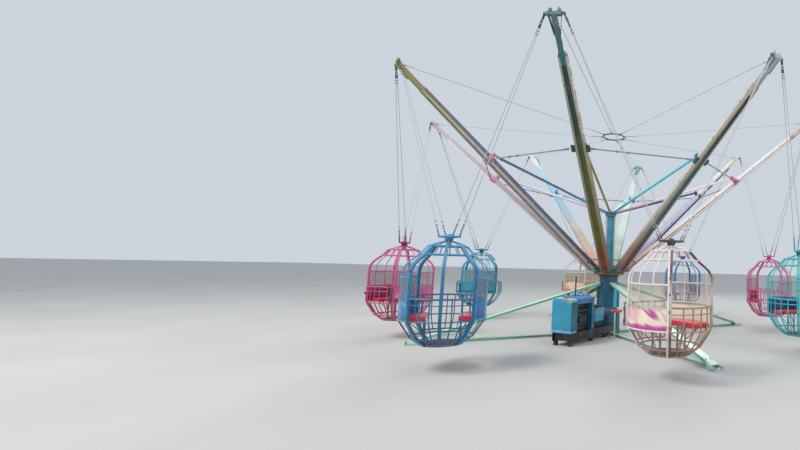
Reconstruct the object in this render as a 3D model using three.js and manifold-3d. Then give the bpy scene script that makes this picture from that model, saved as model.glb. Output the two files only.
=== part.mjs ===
// Cage swing ride: a turning head with eight raised arms, from whose tips eight round
// cages hang on pairs of cables. The head stands on a column with four braced legs,
// and an old engine beside the column drives it.
// Millimetres, +Z up, origin at the centre of the column's foot on the ground.
// Azimuth 0 points along -Y and grows towards +X.

import * as THREE from 'three';
import { mergeVertices } from 'three/addons/utils/BufferGeometryUtils.js';
import Module from 'manifold-3d';

const wasm = await Module();
wasm.setup();

// Driving dimensions
const ARM_COUNT = 8;
const STEP = (2 * Math.PI) / ARM_COUNT;
const SEAT_GAP = 0.3;

// Column and legs
const DRUM_R = 310;
const DRUM_TOP = 560;
const DRUM_SHOULDER = 60;
const COLUMN_R = 230;
const COLUMN_TOP = 1395;
const COLLAR_R = 262;
const COLLAR_H = 45;
const COLUMN_SIDES = 20;
const RIB_R = 255;
const RIB_SIZE = 60;
const RIB_BOTTOM = 640;
const RIB_TOP = 1160;
const RIB_AZIMUTHS = [54, 99, 234, 279];
const LEG_AZIMUTHS = [36, 126, 216, 306];
const LEG_REACH = 4230;
const LEG_TOP_Z = 1240;
const LEG_WIDTH = 160;
const LEG_DEPTH = 50;
const LEG_WALL = 14;
const CHANNEL_INSET = 300;
const BEAM_WIDTH = 100;
const BEAM_HEIGHT = 50;
const FOOT_LENGTH = 260;
const FOOT_WIDTH = 230;
const FOOT_THICK = 30;

// Turning head
const HUB_R = 380;
const HUB_BOTTOM = 1440.5;
const HUB_TOP = 1500;
const HUB_BOSS_R = 150;
const HUB_BOSS_H = 60;
const MAST_R = 88;
const MAST_TOP = 2950;
const CAP_R = 145;
const CAP_THICK = 30;
const MAST_SIDES = 12;
const GUY_COUNT = 4;
const GUY_SIZE = 16;

// Arms: centre line of the boom in the plane of radius and height
const BOOM_FOOT = [440, 1571];
const BOOM_END_RADIUS = 4460;
const TIP = [4928, 5328];
const BRACKET_RADIUS = 3128;
const BOOM_RADII = [BOOM_FOOT[0], BRACKET_RADIUS, BOOM_END_RADIUS];
const GROOVE_RADII = [BOOM_FOOT[0] + 260, BRACKET_RADIUS, BOOM_END_RADIUS - 90];
const BOOM_WIDTHS = [240, 200, 150];
const BOOM_HEIGHTS = [150, 125, 104];
const GROOVE_SHARE = 0.44;
const GROOVE_DEPTH = 26;
const TIP_TUBE = 96;
const BRACKET_HALF = 180;
const BRACKET_LENGTH = 150;
const BRACKET_THICK = 36;
const BRACKET_DROP = 35;
const ROD_END_GAP = 51;
const BUCKLE_SHARE = 0.24;
const LUG_HEIGHT = 120;
const LUG_THICK = 60;
const LUG_LENGTH = 90;
const LUG_ROOT = 20;
const STRUT_DROP = 45;
const ROD_SIZE = 32;
const TURNBUCKLE_SIZE = 52;
const TURNBUCKLE_LENGTH = 260;
const SHOE_WIDTH = 150;
const TIP_BAR_HALF = 118;
const TIP_BAR_SIZE = 60;
const BOSS_R = 36;
const BOSS_H = 52;
const BOSS_OFFSET = 68;

// Swing pins at the arm tips
const EYE_OFFSET = 150;
const PIN_R = 10;
const PIN_SIDES = 8;
const PIN_BACK = 45;
const PIN_FRONT = 22;
const HOLE_R = 10.99;
const EYE_THICK = 20;
const EYE_SIZE = 52;
const EYE_RADIUS = Math.hypot(TIP[0], EYE_OFFSET);
const EYE_ANGLE = STEP / 2 - Math.atan2(EYE_OFFSET, TIP[0]);
const CAGE_RADIUS = EYE_RADIUS * Math.cos(EYE_ANGLE);
const HALF_SPAN = EYE_RADIUS * Math.sin(EYE_ANGLE);

// Struts and centre ring
const STRUT_SIZE = 62;
const STRUT_HUB_R = 120;
const STRUT_HUB_H = 70;
const RING_R = 270;
const RING_Z = 4990;
const RING_BAR = 34;
const STAY_SIZE = 14;
const STAY_SETBACK = 40;

// Hangers
const CABLE_SIZE = 13;
const SHACKLE_LENGTH = 220;
const SHACKLE_SIZE = 54;
const YOKE_Z = 2060;
const YOKE_HALF = 165;
const YOKE_SIDE = 76;
const YOKE_BAR = 30;
const YOKE_EDGE = 18;
const YOKE_BOSS_R = 66;

// Cages: heights above the ground and radii about the cage's own axis
const CAGE_SIDES = 12;
const FACET_SHARE = Math.cos(Math.PI / CAGE_SIDES);
const TOP_RING_SIDES = 8;
const CAGE_R = 625;
const STEM_TOP = 1995;
const TOP_RING = [288, 1890];
const DOME_RING = [405, 1755];
const SHOULDER = [CAGE_R, 1570];
const GLAZING_TOP = 1410;
const RAIL_Z = 1100;
const SEAT_TOP = 840;
const BELT = [CAGE_R, 775];
const LOWER_RING = [455, 505];
const BOTTOM_RING = [300, 390];
const POST_FOOT = [308, 396];
const RING_SIZE = 24;
const POST_WIDTH = 70;
const POST_THICK = 38;
const MIDDLE_POST_WIDTH = 48;
const MIDDLE_POST_THICK = 30;
const BAR_SIZE = 18;
const PANEL_THICK = 14;
const RAIL_SIZE = 30;
const FLOOR_R = 294;
const FLOOR_THICK = 14;
const BENCH_THICK = 85;
const BENCH_FRONT = 225;
const BENCH_HALF = 300;
const BENCH_BACK_R = 575;
const PEDESTAL_HALF = 95;
const PEDESTAL_WIDTH = 30;
const PEDESTAL_X = [244, 268];
const CAGE_TURNS = [160, 7, 0, 0, 0, 0, 0, 184];
const MIDDLE_POST_CAGE = 8;

// Gates: they hinge beside the post at 90 degrees of the cage and open outwards
const HINGE_X = 24;
const HINGE_Y = 680;
const HINGE_WIDTH = 36;
const HINGE_BOTTOM = 800;
const HINGE_TOP = 1040;
const GATE_EDGE = 8;
const GATE_FOOT = [484, 551];
const GATE_PIN_BOTTOM = 762;
const GATE_PIN_TOP = RAIL_Z + RAIL_SIZE / 2;
const STRAP_SIZE = 24;

// Engine: beside a radius at its own azimuth, lengths are distances from the column's axis;
// boxes are given by their low and high corners
const ENGINE_AZIMUTH = -18;
const ENGINE_SHIFT = 90;
const ENGINE_HALF = 215;
const SKID_Z = 90;
const SKID_TOP = 260;
const ENGINE_BOTTOM = SKID_TOP + SEAT_GAP;
const SKID_LEG = 80;
const SKID_FRONT = 2080;
const CROSS_X = [430, 760, 1150, 1480, 1960];
const SKID_LEG_X = [560, 1150, 1960];
const HOUSING_HALF = 235;
const HOUSING_FRONT = 2110;
const HOUSING_BACK = 1850;
const HOUSING_TOP = 965;
const HOUSING_CORNER = 45;
const HOOD_BOTTOM = 840;
const HOOD_TOP = 1000;
const HOOD = [[1260, -205, HOOD_BOTTOM], [HOUSING_BACK - SEAT_GAP, 205, HOOD_TOP]];
const TANK = [[1310, -145, HOOD_TOP - 2], [1570, 145, HOOD_TOP + 45]];
const TANK_CAP = [[1380, 0, HOOD_TOP + 40], [1380, 0, HOOD_TOP + 75]];
const CRANKCASE = [[1265, -125, ENGINE_BOTTOM], [1790, 125, 620]];
const CYLINDERS = [[1320, -85, 610], [1740, 85, HOOD_BOTTOM - SEAT_GAP]];
const SIDE_BOX = [[1380, 110, 420], [1640, 175, 560]];
const FAN = [[1780, 0, 620], [1840, 0, 620]];
const REAR_BACK = 1140;
const REAR_FRAME = [[REAR_BACK, -ENGINE_HALF, ENGINE_BOTTOM], [1250, ENGINE_HALF, 960]];
const REAR_RECESS = [[REAR_BACK - 5, -155, 620], [1220, 155, 880]];
const GEARBOX = [[600, -170, 385], [1020, 170, 690]];
const GEAR_PLINTH = [[640, -120, ENGINE_BOTTOM], [980, 120, 390]];
const GEAR_COVER = [[640, -90, 685], [900, 90, 750]];
const PULLEY = [[1015, 0, 600], [1075, 0, 600]];
const INPUT_SHAFT = [[1070, 0, 600], [REAR_BACK - SEAT_GAP, 0, 600]];
const OUTPUT_SHAFT = [[COLUMN_R, 0, 500], [605, 0, 500]];
const EXHAUST = [[1640, 20, HOOD_TOP + SEAT_GAP], [1640, 20, 1410]];
const LEVER_AZIMUTH = 18;
const LEVER_POST = [700, 90];
const LEVER_HEIGHT = 605;
const LEVER_SIZE = 34;
const LEVER_FOOT_HALF = 45;
const LEVER_PLATE = 22;
const STRAP_HALF = 22;
const HANDLE_REACH = [-100, 165];
const HANDLE_SIZE = 66;

// Paints
const BLUE = 0x2a86c4;
const DEEP_TEAL = 0x0f5573;
const MINT = 0x86cfae;
const SKY = 0x5bb5df;
const OLIVE = 0x8a8a3a;
const STEEL = 0x8c9092;
const RED = 0xc42a3c;
const DARK = 0x26282b;
const ARM_PAINTS = [0x6f7a34, 0x6a4a42, 0xc9a6b4, 0x9a8fc4, 0x9fcfb8, 0xb9dbe6, 0xc7b4c9, 0x8a8f84];
const CAGE_PAINTS = [0xd9c9a8, 0x2fb6b8, 0xd04f94, 0x2f7fc4, 0xd8b49a, 0x2f8fae, 0xd04f94, 0x2b78bd];

const rad = (degrees) => (degrees * Math.PI) / 180;

function material(color, roughness = 0.5, metalness = 0.2) {
  return new THREE.MeshStandardMaterial({ color, roughness, metalness });
}

// Closed triangle soup to solid: shared corners merged, faces turned outwards
function solid(geometry) {
  const plain = geometry.clone();
  plain.deleteAttribute('normal');
  plain.deleteAttribute('uv');
  const merged = mergeVertices(plain, 1e-4);
  const points = new Float32Array(merged.attributes.position.array);
  const corners = [];
  const index = merged.index.array;
  let volume = 0;
  const at = (i) => new THREE.Vector3().fromArray(points, 3 * i);
  for (let i = 0; i < index.length; i += 3) {
    const [a, b, c] = [index[i], index[i + 1], index[i + 2]];
    if (a === b || b === c || c === a) continue;
    corners.push(a, b, c);
    volume += at(a).dot(at(b).cross(at(c)));
  }
  if (volume < 0) corners.reverse();
  const mesh = new wasm.Mesh({ numProp: 3, vertProperties: points, triVerts: new Uint32Array(corners) });
  return new wasm.Manifold(mesh);
}

function join(pieces) {
  return pieces.reduce((whole, piece) => whole.add(piece));
}

function toGeometry(body) {
  const mesh = body.getMesh();
  const geometry = new THREE.BufferGeometry();
  geometry.setAttribute('position', new THREE.BufferAttribute(new Float32Array(mesh.vertProperties), 3));
  geometry.setIndex(new THREE.BufferAttribute(new Uint32Array(mesh.triVerts), 1));
  geometry.computeVertexNormals();
  return geometry;
}

// A straight bar from a to b; its width lies along the side direction
function bar(a, b, width, height, side = [0, 1, 0]) {
  const start = new THREE.Vector3(...a);
  const end = new THREE.Vector3(...b);
  const along = end.clone().sub(start);
  const length = along.length();
  along.normalize();
  const up = along.clone().cross(new THREE.Vector3(...side)).normalize();
  const across = up.clone().cross(along);
  const middle = start.add(end).multiplyScalar(0.5);
  const place = new THREE.Matrix4().makeBasis(along, across, up).setPosition(middle);
  return solid(new THREE.BoxGeometry(length, width, height).applyMatrix4(place));
}

function block(low, high) {
  const size = high.map((value, i) => value - low[i]);
  const centre = high.map((value, i) => (value + low[i]) / 2);
  return solid(new THREE.BoxGeometry(...size).translate(...centre));
}

// A turned solid about a vertical axis through the origin, from its radius and height outline
function turned(outline, sides) {
  const points = outline.map(([r, z]) => new THREE.Vector2(r, z));
  return solid(new THREE.LatheGeometry(points, sides).rotateX(Math.PI / 2));
}

function disc(radius, bottom, top, sides) {
  return turned([[0, bottom], [radius, bottom], [radius, top], [0, top]], sides);
}

// A ring of square bar
function ring([radius, z], size, sides) {
  const half = size / 2;
  const inner = radius - half;
  const outer = radius + half;
  return turned([
    [inner, z - half],
    [outer, z - half],
    [outer, z + half],
    [inner, z + half],
    [inner, z - half],
  ], sides);
}

function extruded(points, bottom, top) {
  const shape = new THREE.Shape(points.map(([x, y]) => new THREE.Vector2(x, y)));
  const settings = { depth: top - bottom, bevelEnabled: false, curveSegments: 1 };
  return new THREE.ExtrudeGeometry(shape, settings).translate(0, 0, bottom);
}

// A curved wall between two angles in degrees, in flat facets
function curvedWall(inner, outer, from, to, bottom, top) {
  const facet = 360 / CAGE_SIDES;
  const facets = Math.ceil((to - from) / facet - 0.01);
  const angles = Array.from({ length: facets + 1 }, (_, i) => rad(from + ((to - from) * i) / facets));
  const outside = angles.map((t) => [outer * Math.cos(t), outer * Math.sin(t)]);
  const inside = angles.map((t) => [inner * Math.cos(t), inner * Math.sin(t)]).reverse();
  return solid(extruded([...outside, ...inside], bottom, top));
}

// A flat strip that follows a line of radius and height points, turned to an angle in degrees
function strip(line, width, thick, angle) {
  const centre = line.map(([r, z]) => new THREE.Vector2(r, z));
  const edge = (sign) => centre.map((point, i) => {
    const before = point.clone().sub(centre[Math.max(i - 1, 0)]).normalize();
    const after = centre[Math.min(i + 1, centre.length - 1)].clone().sub(point).normalize();
    const run = before.add(after).normalize();
    const reach = i === 0 || i === centre.length - 1 ? 1 : 1 / Math.max(run.dot(after), 0.5);
    return [point.x - (sign * run.y * reach * thick) / 2, point.y + (sign * run.x * reach * thick) / 2];
  });
  const outline = [...edge(1), ...edge(-1).reverse()];
  const geometry = extruded(outline, -width / 2, width / 2).rotateX(Math.PI / 2);
  return solid(geometry.rotateZ(rad(angle)));
}

// A round rod, bore or boss between two points
function rod(a, b, radius, sides) {
  const start = new THREE.Vector3(...a);
  const end = new THREE.Vector3(...b);
  const along = end.clone().sub(start);
  const geometry = new THREE.CylinderGeometry(radius, radius, along.length(), sides);
  const turn = new THREE.Quaternion().setFromUnitVectors(new THREE.Vector3(0, 1, 0), along.normalize());
  geometry.applyQuaternion(turn).translate(...start.add(end).multiplyScalar(0.5).toArray());
  return solid(geometry);
}

// Places a body about the column: x is outwards along the azimuth, y is across it
function aboutAxis(body, azimuth) {
  return body.rotate([0, 0, azimuth - 90]);
}

// Column with its drum foot, ribs and bearing collar
function columnSolid() {
  const shell = turned([
    [0, 0],
    [DRUM_R, 0],
    [DRUM_R, DRUM_TOP],
    [COLUMN_R, DRUM_TOP + DRUM_SHOULDER],
    [COLUMN_R, COLUMN_TOP],
    [COLLAR_R, COLUMN_TOP],
    [COLLAR_R, COLUMN_TOP + COLLAR_H],
    [0, COLUMN_TOP + COLLAR_H],
  ], COLUMN_SIDES);
  const half = RIB_SIZE / 2;
  const rib = block([COLUMN_R - half, -half, RIB_BOTTOM], [RIB_R + half, half, RIB_TOP]);
  return join([shell, ...RIB_AZIMUTHS.map((azimuth) => aboutAxis(rib, azimuth))]);
}

// The space that the column and its drum take, for pieces that end against them
function columnClearance() {
  return turned([
    [0, -1],
    [DRUM_R + SEAT_GAP, -1],
    [DRUM_R + SEAT_GAP, DRUM_TOP],
    [COLUMN_R + SEAT_GAP, DRUM_TOP + DRUM_SHOULDER],
    [COLUMN_R + SEAT_GAP, COLUMN_TOP],
    [0, COLUMN_TOP],
  ], COLUMN_SIDES);
}

// One leg: a brace and a ground beam that meet in a foot plate
function legSolid() {
  const top = [COLUMN_R - 30, 0, LEG_TOP_Z];
  const foot = [LEG_REACH, 0, FOOT_THICK + LEG_DEPTH / 2];
  const run = new THREE.Vector2(foot[0] - top[0], foot[2] - top[2]).normalize();
  const under = (end, along) => [
    end[0] + run.x * along + run.y * LEG_WALL,
    0,
    end[2] + run.y * along - run.x * LEG_WALL,
  ];
  const from = under(top, CHANNEL_INSET);
  const to = under(foot, -CHANNEL_INSET);
  const channel = bar(from, to, LEG_WIDTH - 2 * LEG_WALL, LEG_DEPTH);
  const brace = bar(top, foot, LEG_WIDTH, LEG_DEPTH).subtract(channel);
  const half = BEAM_WIDTH / 2;
  const beam = block([DRUM_R - 6, -half, 4], [LEG_REACH, half, 4 + BEAM_HEIGHT]);
  const [length, width] = [FOOT_LENGTH / 2, FOOT_WIDTH / 2];
  const plate = block([LEG_REACH - length, -width, 0], [LEG_REACH + length, width, FOOT_THICK]);
  return join([brace, beam, plate]).subtract(columnClearance());
}

function hubSolid() {
  const boss = disc(HUB_BOSS_R, HUB_TOP - 1, HUB_TOP + HUB_BOSS_H, 16);
  return disc(HUB_R, HUB_BOTTOM, HUB_TOP, 24).add(boss);
}

// Mast with its cap plate, foot flange and thin guys
function mastSolid() {
  const foot = HUB_TOP + HUB_BOSS_H + SEAT_GAP;
  const pieces = [
    disc(MAST_R, foot, MAST_TOP, MAST_SIDES),
    disc(CAP_R, foot, foot + 24, MAST_SIDES),
    disc(CAP_R, MAST_TOP - CAP_THICK, MAST_TOP, MAST_SIDES),
  ];
  for (let i = 0; i < GUY_COUNT; i += 1) {
    const turn = ((i + 0.5) * 2 * Math.PI) / GUY_COUNT;
    const reach = CAP_R - 18;
    const top = [reach * Math.cos(turn), reach * Math.sin(turn), MAST_TOP - CAP_THICK / 2];
    const low = [top[0], top[1], foot + 12];
    pieces.push(bar(low, top, GUY_SIZE, GUY_SIZE, [Math.sin(turn), -Math.cos(turn), 0]));
  }
  return join(pieces);
}

const BOOM_RUN = new THREE.Vector2(TIP[0] - BOOM_FOOT[0], TIP[1] - BOOM_FOOT[1]).normalize();
const BOOM_RISE = new THREE.Vector2(-BOOM_RUN.y, BOOM_RUN.x);

// A point beside the boom's centre line: radius on the line, lift square to it, offset across
function onBoom(radius, lift = 0, across = 0) {
  const along = (radius - BOOM_FOOT[0]) / BOOM_RUN.x;
  const x = BOOM_FOOT[0] + BOOM_RUN.x * along + BOOM_RISE.x * lift;
  const z = BOOM_FOOT[1] + BOOM_RUN.y * along + BOOM_RISE.y * lift;
  return [x, across, z];
}

// A box whose section changes from station to station; low and high are its heights off the line
function taperedBoom(radii, widths, low, high) {
  const geometry = new THREE.BoxGeometry(2, 1, 1, 2, 1, 1);
  const place = geometry.attributes.position;
  for (let i = 0; i < place.count; i += 1) {
    const station = Math.round(place.getX(i)) + 1;
    const lift = place.getZ(i) > 0 ? high[station] : low[station];
    place.setXYZ(i, ...onBoom(radii[station], lift, place.getY(i) * widths[station]));
  }
  return solid(geometry);
}

// The boom with the shallow channel along its underside
function boomSolid() {
  const top = BOOM_HEIGHTS.map((height) => height / 2);
  const under = top.map((height) => -height);
  const boom = taperedBoom(BOOM_RADII, BOOM_WIDTHS, under, top);
  const grooveWidths = BOOM_WIDTHS.map((width) => width * GROOVE_SHARE);
  const below = under.map((height) => height - GROOVE_DEPTH);
  const above = under.map((height) => height + GROOVE_DEPTH);
  return boom.subtract(taperedBoom(GROOVE_RADII, grooveWidths, below, above));
}

// The cast shoe that stands on the hub's flange and holds the boom's foot
function shoeSolid() {
  const outline = [
    [245, HUB_TOP + SEAT_GAP],
    [375, HUB_TOP + SEAT_GAP],
    [530, 1545],
    [480, 1630],
    [370, 1640],
    [245, 1580],
  ];
  return solid(extruded(outline, -SHOE_WIDTH / 2, SHOE_WIDTH / 2).rotateX(Math.PI / 2));
}

// Bracket plates across the boom, with the lug that the strut reaches
function bracketPieces() {
  const from = onBoom(BRACKET_RADIUS - BRACKET_LENGTH / 2, -BRACKET_DROP);
  const to = onBoom(BRACKET_RADIUS + BRACKET_LENGTH / 2, -BRACKET_DROP);
  const plate = bar(from, to, 2 * BRACKET_HALF, BRACKET_THICK);
  const lugTop = BOOM_HEIGHTS[1] / 2 + LUG_HEIGHT;
  const lug = bar(onBoom(BRACKET_RADIUS, LUG_ROOT), onBoom(BRACKET_RADIUS, lugTop), LUG_THICK, LUG_LENGTH);
  return [plate, lug];
}

// The tie rod from this arm's bracket to just short of the next arm's bracket
function tieRodPieces() {
  const start = new THREE.Vector3(...onBoom(BRACKET_RADIUS, -BRACKET_DROP, BRACKET_HALF - 14));
  const turn = new THREE.Matrix4().makeRotationZ(STEP);
  const far = new THREE.Vector3(...onBoom(BRACKET_RADIUS, -BRACKET_DROP, -BRACKET_HALF)).applyMatrix4(turn);
  const run = far.sub(start);
  const length = run.length();
  run.normalize();
  const at = (distance) => start.clone().addScaledVector(run, distance).toArray();
  const buckleStart = length * BUCKLE_SHARE;
  return [
    bar(at(0), at(length - ROD_END_GAP), ROD_SIZE, ROD_SIZE),
    bar(at(buckleStart), at(buckleStart + TURNBUCKLE_LENGTH), TURNBUCKLE_SIZE, TURNBUCKLE_SIZE),
  ];
}

// Cross bar, bosses and swing pins at the tip
function tipPieces() {
  const [reach, height] = TIP;
  const half = TIP_BAR_SIZE / 2;
  const low = [reach - half, -TIP_BAR_HALF, height - half];
  const high = [reach + half, TIP_BAR_HALF, height + half];
  const pieces = [block(low, high)];
  for (const sign of [-1, 1]) {
    const boss = [reach, sign * BOSS_OFFSET];
    pieces.push(rod([...boss, height + half - 2], [...boss, height + half + BOSS_H], BOSS_R, 8));
    const run = [-Math.sin(STEP / 2), sign * Math.cos(STEP / 2)];
    const from = [reach - run[0] * PIN_BACK, sign * EYE_OFFSET - run[1] * PIN_BACK, height];
    const to = [reach + run[0] * PIN_FRONT, sign * EYE_OFFSET + run[1] * PIN_FRONT, height];
    pieces.push(rod(from, to, PIN_R, PIN_SIDES));
  }
  return pieces;
}

function armSolid() {
  const tube = bar(onBoom(BOOM_END_RADIUS - 120), onBoom(TIP[0]), TIP_TUBE, TIP_TUBE);
  return join([boomSolid(), shoeSolid(), tube, ...bracketPieces(), ...tipPieces(), ...tieRodPieces()]);
}

// Eight struts from the mast's cap to the arms' lugs, joined by a hub block
function strutStarSolid() {
  const low = MAST_TOP + SEAT_GAP;
  const pieces = [disc(STRUT_HUB_R, low, low + STRUT_HUB_H, 16)];
  const [lugX, , lugZ] = onBoom(BRACKET_RADIUS, BOOM_HEIGHTS[1] / 2 + LUG_HEIGHT - STRUT_DROP);
  const start = [60, 0, low + STRUT_HUB_H / 2];
  const aim = new THREE.Vector2(lugX - start[0], lugZ - start[2]);
  const bend = BOOM_RUN.angle() - aim.angle();
  const standoff = LUG_LENGTH / 2 + SEAT_GAP + (STRUT_SIZE / 2) * Math.sin(bend);
  const reach = aim.length() - standoff / Math.cos(bend);
  aim.normalize();
  const end = [start[0] + aim.x * reach, 0, start[2] + aim.y * reach];
  const strut = bar(start, end, STRUT_SIZE, STRUT_SIZE);
  for (let k = 0; k < ARM_COUNT; k += 1) pieces.push(aboutAxis(strut, 45 * k));
  return join(pieces);
}

// The ring that floats over the mast, held by a stay from each arm tip
function stayStarSolid() {
  const pieces = [ring([RING_R, RING_Z], RING_BAR, 16)];
  const start = new THREE.Vector3(RING_R, 0, RING_Z);
  const [seatX, , seatZ] = onBoom(TIP[0] - STAY_SETBACK, TIP_TUBE / 2 + 0.5);
  const end = new THREE.Vector3(seatX, 0, seatZ + STAY_SIZE / 2 + 0.2);
  const stay = bar(start.toArray(), end.toArray(), STAY_SIZE, STAY_SIZE);
  for (let k = 0; k < ARM_COUNT; k += 1) pieces.push(aboutAxis(stay, 45 * k));
  return join(pieces);
}

// An eye plate on a tip pin with the shackle below it
function eyeSolid(eye, run) {
  const half = EYE_SIZE / 2;
  const from = eye.clone().addScaledVector(run, EYE_SIZE * 0.4);
  const to = eye.clone().addScaledVector(run, SHACKLE_LENGTH);
  const shackle = bar(from.toArray(), to.toArray(), SHACKLE_SIZE, EYE_THICK, [1, 0, 0]);
  const low = [-half, eye.y - EYE_THICK / 2, eye.z - half];
  const high = [half, eye.y + EYE_THICK / 2, eye.z + half];
  const bore = rod([0, eye.y - EYE_THICK, eye.z], [0, eye.y + EYE_THICK, eye.z], HOLE_R, PIN_SIDES);
  return block(low, high).add(shackle).subtract(bore);
}

// Cables of one cage: eyes on two tip pins, shackles, two pairs of cables and the yoke
function hangerSolid() {
  const end = YOKE_HALF + YOKE_EDGE;
  const pieces = [
    block([-YOKE_SIDE, -end, YOKE_Z - YOKE_BAR], [YOKE_SIDE, end, YOKE_Z]),
    disc(YOKE_BOSS_R, STEM_TOP + SEAT_GAP, YOKE_Z - 5, 8),
  ];
  for (const sign of [-1, 1]) {
    const eye = new THREE.Vector3(0, sign * HALF_SPAN, TIP[1]);
    const corner = new THREE.Vector3(0, sign * YOKE_HALF, YOKE_Z);
    const run = corner.clone().sub(eye).normalize();
    const low = eye.clone().addScaledVector(run, SHACKLE_LENGTH);
    pieces.push(eyeSolid(eye, run));
    for (const side of [-1, 1]) {
      const from = [side * (SHACKLE_SIZE / 2 - CABLE_SIZE), low.y, low.z];
      const to = [side * (YOKE_SIDE - CABLE_SIZE), corner.y, corner.z];
      pieces.push(bar(from, to, CABLE_SIZE, CABLE_SIZE, [1, 0, 0]));
    }
  }
  return join(pieces);
}

// The same line where it crosses the middle of a ring's straight facet
function onFacet(line) {
  return line.map(([r, z]) => [r * FACET_SHARE, z]);
}

// The bar in the middle of a barred quadrant: short, or a full post up to the top ring
function middleBar(isPost) {
  if (!isPost) {
    return strip(onFacet([[CAGE_R, RAIL_Z], BELT, LOWER_RING, POST_FOOT]), BAR_SIZE, BAR_SIZE, 225);
  }
  const line = [...onFacet([POST_FOOT, LOWER_RING, BELT, SHOULDER, DOME_RING]), TOP_RING];
  return strip(line, MIDDLE_POST_WIDTH, MIDDLE_POST_THICK, 225);
}

// The hand rail between two angles
function railOver(from, to) {
  const half = RAIL_SIZE / 2;
  return curvedWall(CAGE_R - half, CAGE_R + half, from, to, RAIL_Z - half, RAIL_Z + half);
}

// Posts, rings, bars and curved panels of one cage, with the barrel of the gate's hinge
function cageSolid(hasMiddlePost) {
  const pieces = [
    ring(TOP_RING, RING_SIZE, TOP_RING_SIDES),
    ring(DOME_RING, RING_SIZE, CAGE_SIDES),
    ring(LOWER_RING, RING_SIZE, CAGE_SIDES),
    ring(BOTTOM_RING, RING_SIZE, CAGE_SIDES),
    disc(YOKE_BOSS_R - 8, TOP_RING[1] - 20, STEM_TOP, 8),
    bar([0, -TOP_RING[0], TOP_RING[1]], [0, TOP_RING[0], TOP_RING[1]], 40, 26, [1, 0, 0]),
    middleBar(hasMiddlePost),
  ];
  for (const angle of [0, 90, 180, 270]) {
    const line = [POST_FOOT, LOWER_RING, BELT, SHOULDER, DOME_RING, TOP_RING];
    pieces.push(strip(line, POST_WIDTH, POST_THICK, angle));
  }
  for (const start of [90, 270]) {
    pieces.push(curvedWall(CAGE_R - PANEL_THICK, CAGE_R, start, start + 90, BELT[1], GLAZING_TOP));
    const wallMiddle = CAGE_R - PANEL_THICK / 2;
    const dome = onFacet([[wallMiddle, GLAZING_TOP - 8], [wallMiddle, SHOULDER[1]], DOME_RING]);
    pieces.push(strip([...dome, TOP_RING], BAR_SIZE, BAR_SIZE, start + 45));
  }
  pieces.push(railOver(180, 270));
  const half = HINGE_WIDTH / 2;
  const low = [HINGE_X - half, CAGE_R - 5, HINGE_BOTTOM];
  const barrel = block(low, [HINGE_X + half, HINGE_Y + half, HINGE_TOP]);
  const hinge = [HINGE_X, HINGE_Y];
  const bore = rod([...hinge, HINGE_BOTTOM - 20], [...hinge, HINGE_TOP + 20], HOLE_R, PIN_SIDES);
  return join([...pieces, barrel]).subtract(bore);
}

// The barred gate, with its pin and the two straps that reach it
function gateSolid() {
  const edges = [GATE_EDGE, 90 - GATE_EDGE];
  const [footR, footZ] = GATE_FOOT;
  const pieces = [
    railOver(...edges),
    curvedWall(footR - 10, footR + 12, ...edges, footZ - 10, footZ + 10),
  ];
  for (const angle of [edges[0] + 1, 45, edges[1] - 1]) {
    pieces.push(strip([[CAGE_R, RAIL_Z], BELT, GATE_FOOT], BAR_SIZE, BAR_SIZE, angle));
  }
  const stile = rad(edges[1] - 1);
  const at = [CAGE_R * Math.cos(stile), CAGE_R * Math.sin(stile)];
  for (const z of [GATE_PIN_BOTTOM + STRAP_SIZE / 2, RAIL_Z]) {
    pieces.push(bar([...at, z], [HINGE_X, HINGE_Y, z], STRAP_SIZE, STRAP_SIZE, [0, 0, 1]));
  }
  pieces.push(rod([HINGE_X, HINGE_Y, GATE_PIN_BOTTOM], [HINGE_X, HINGE_Y, GATE_PIN_TOP], PIN_R, PIN_SIDES));
  return join(pieces);
}

// Floor plate with two benches on pedestals, facing each other
function seatsSolid() {
  const floorBottom = BOTTOM_RING[1] + RING_SIZE / 2 + SEAT_GAP;
  const pieces = [disc(FLOOR_R, floorBottom, floorBottom + FLOOR_THICK, CAGE_SIDES)];
  const around = (t) => [BENCH_BACK_R * Math.cos(rad(t)), BENCH_BACK_R * Math.sin(rad(t))];
  const back = [-38, -13, 13, 38].map(around);
  const outline = [[BENCH_FRONT, -BENCH_HALF], ...back, [BENCH_FRONT, BENCH_HALF]];
  const bench = [solid(extruded(outline, SEAT_TOP - BENCH_THICK, SEAT_TOP))];
  const [near, far] = PEDESTAL_X;
  for (const y of [-PEDESTAL_HALF, PEDESTAL_HALF - PEDESTAL_WIDTH]) {
    const top = SEAT_TOP - BENCH_THICK + 5;
    bench.push(block([near, y, floorBottom + 2], [far, y + PEDESTAL_WIDTH, top]));
  }
  for (const turn of [135, 315]) pieces.push(join(bench).rotate([0, 0, turn]));
  return join(pieces);
}

// Engine group: x runs outwards from the column, so the radiator housing faces +x
function housingSolid() {
  const side = HOUSING_HALF - HOUSING_CORNER;
  const outline = [
    [-HOUSING_HALF, ENGINE_BOTTOM],
    [HOUSING_HALF, ENGINE_BOTTOM],
    [HOUSING_HALF, HOUSING_TOP - HOUSING_CORNER],
    [side, HOUSING_TOP],
    [-side, HOUSING_TOP],
    [-HOUSING_HALF, HOUSING_TOP - HOUSING_CORNER],
  ];
  return solid(extruded(outline, HOUSING_BACK, HOUSING_FRONT).rotateX(Math.PI / 2).rotateZ(Math.PI / 2));
}

function hoodSolid() {
  return join([block(...HOOD), block(...TANK), rod(...TANK_CAP, 34, 8)]);
}

function engineSolid() {
  return join([block(...CRANKCASE), block(...CYLINDERS), block(...SIDE_BOX), rod(...FAN, 160, 12)]);
}

function rearSolid() {
  return block(...REAR_FRAME).subtract(block(...REAR_RECESS));
}

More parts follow.
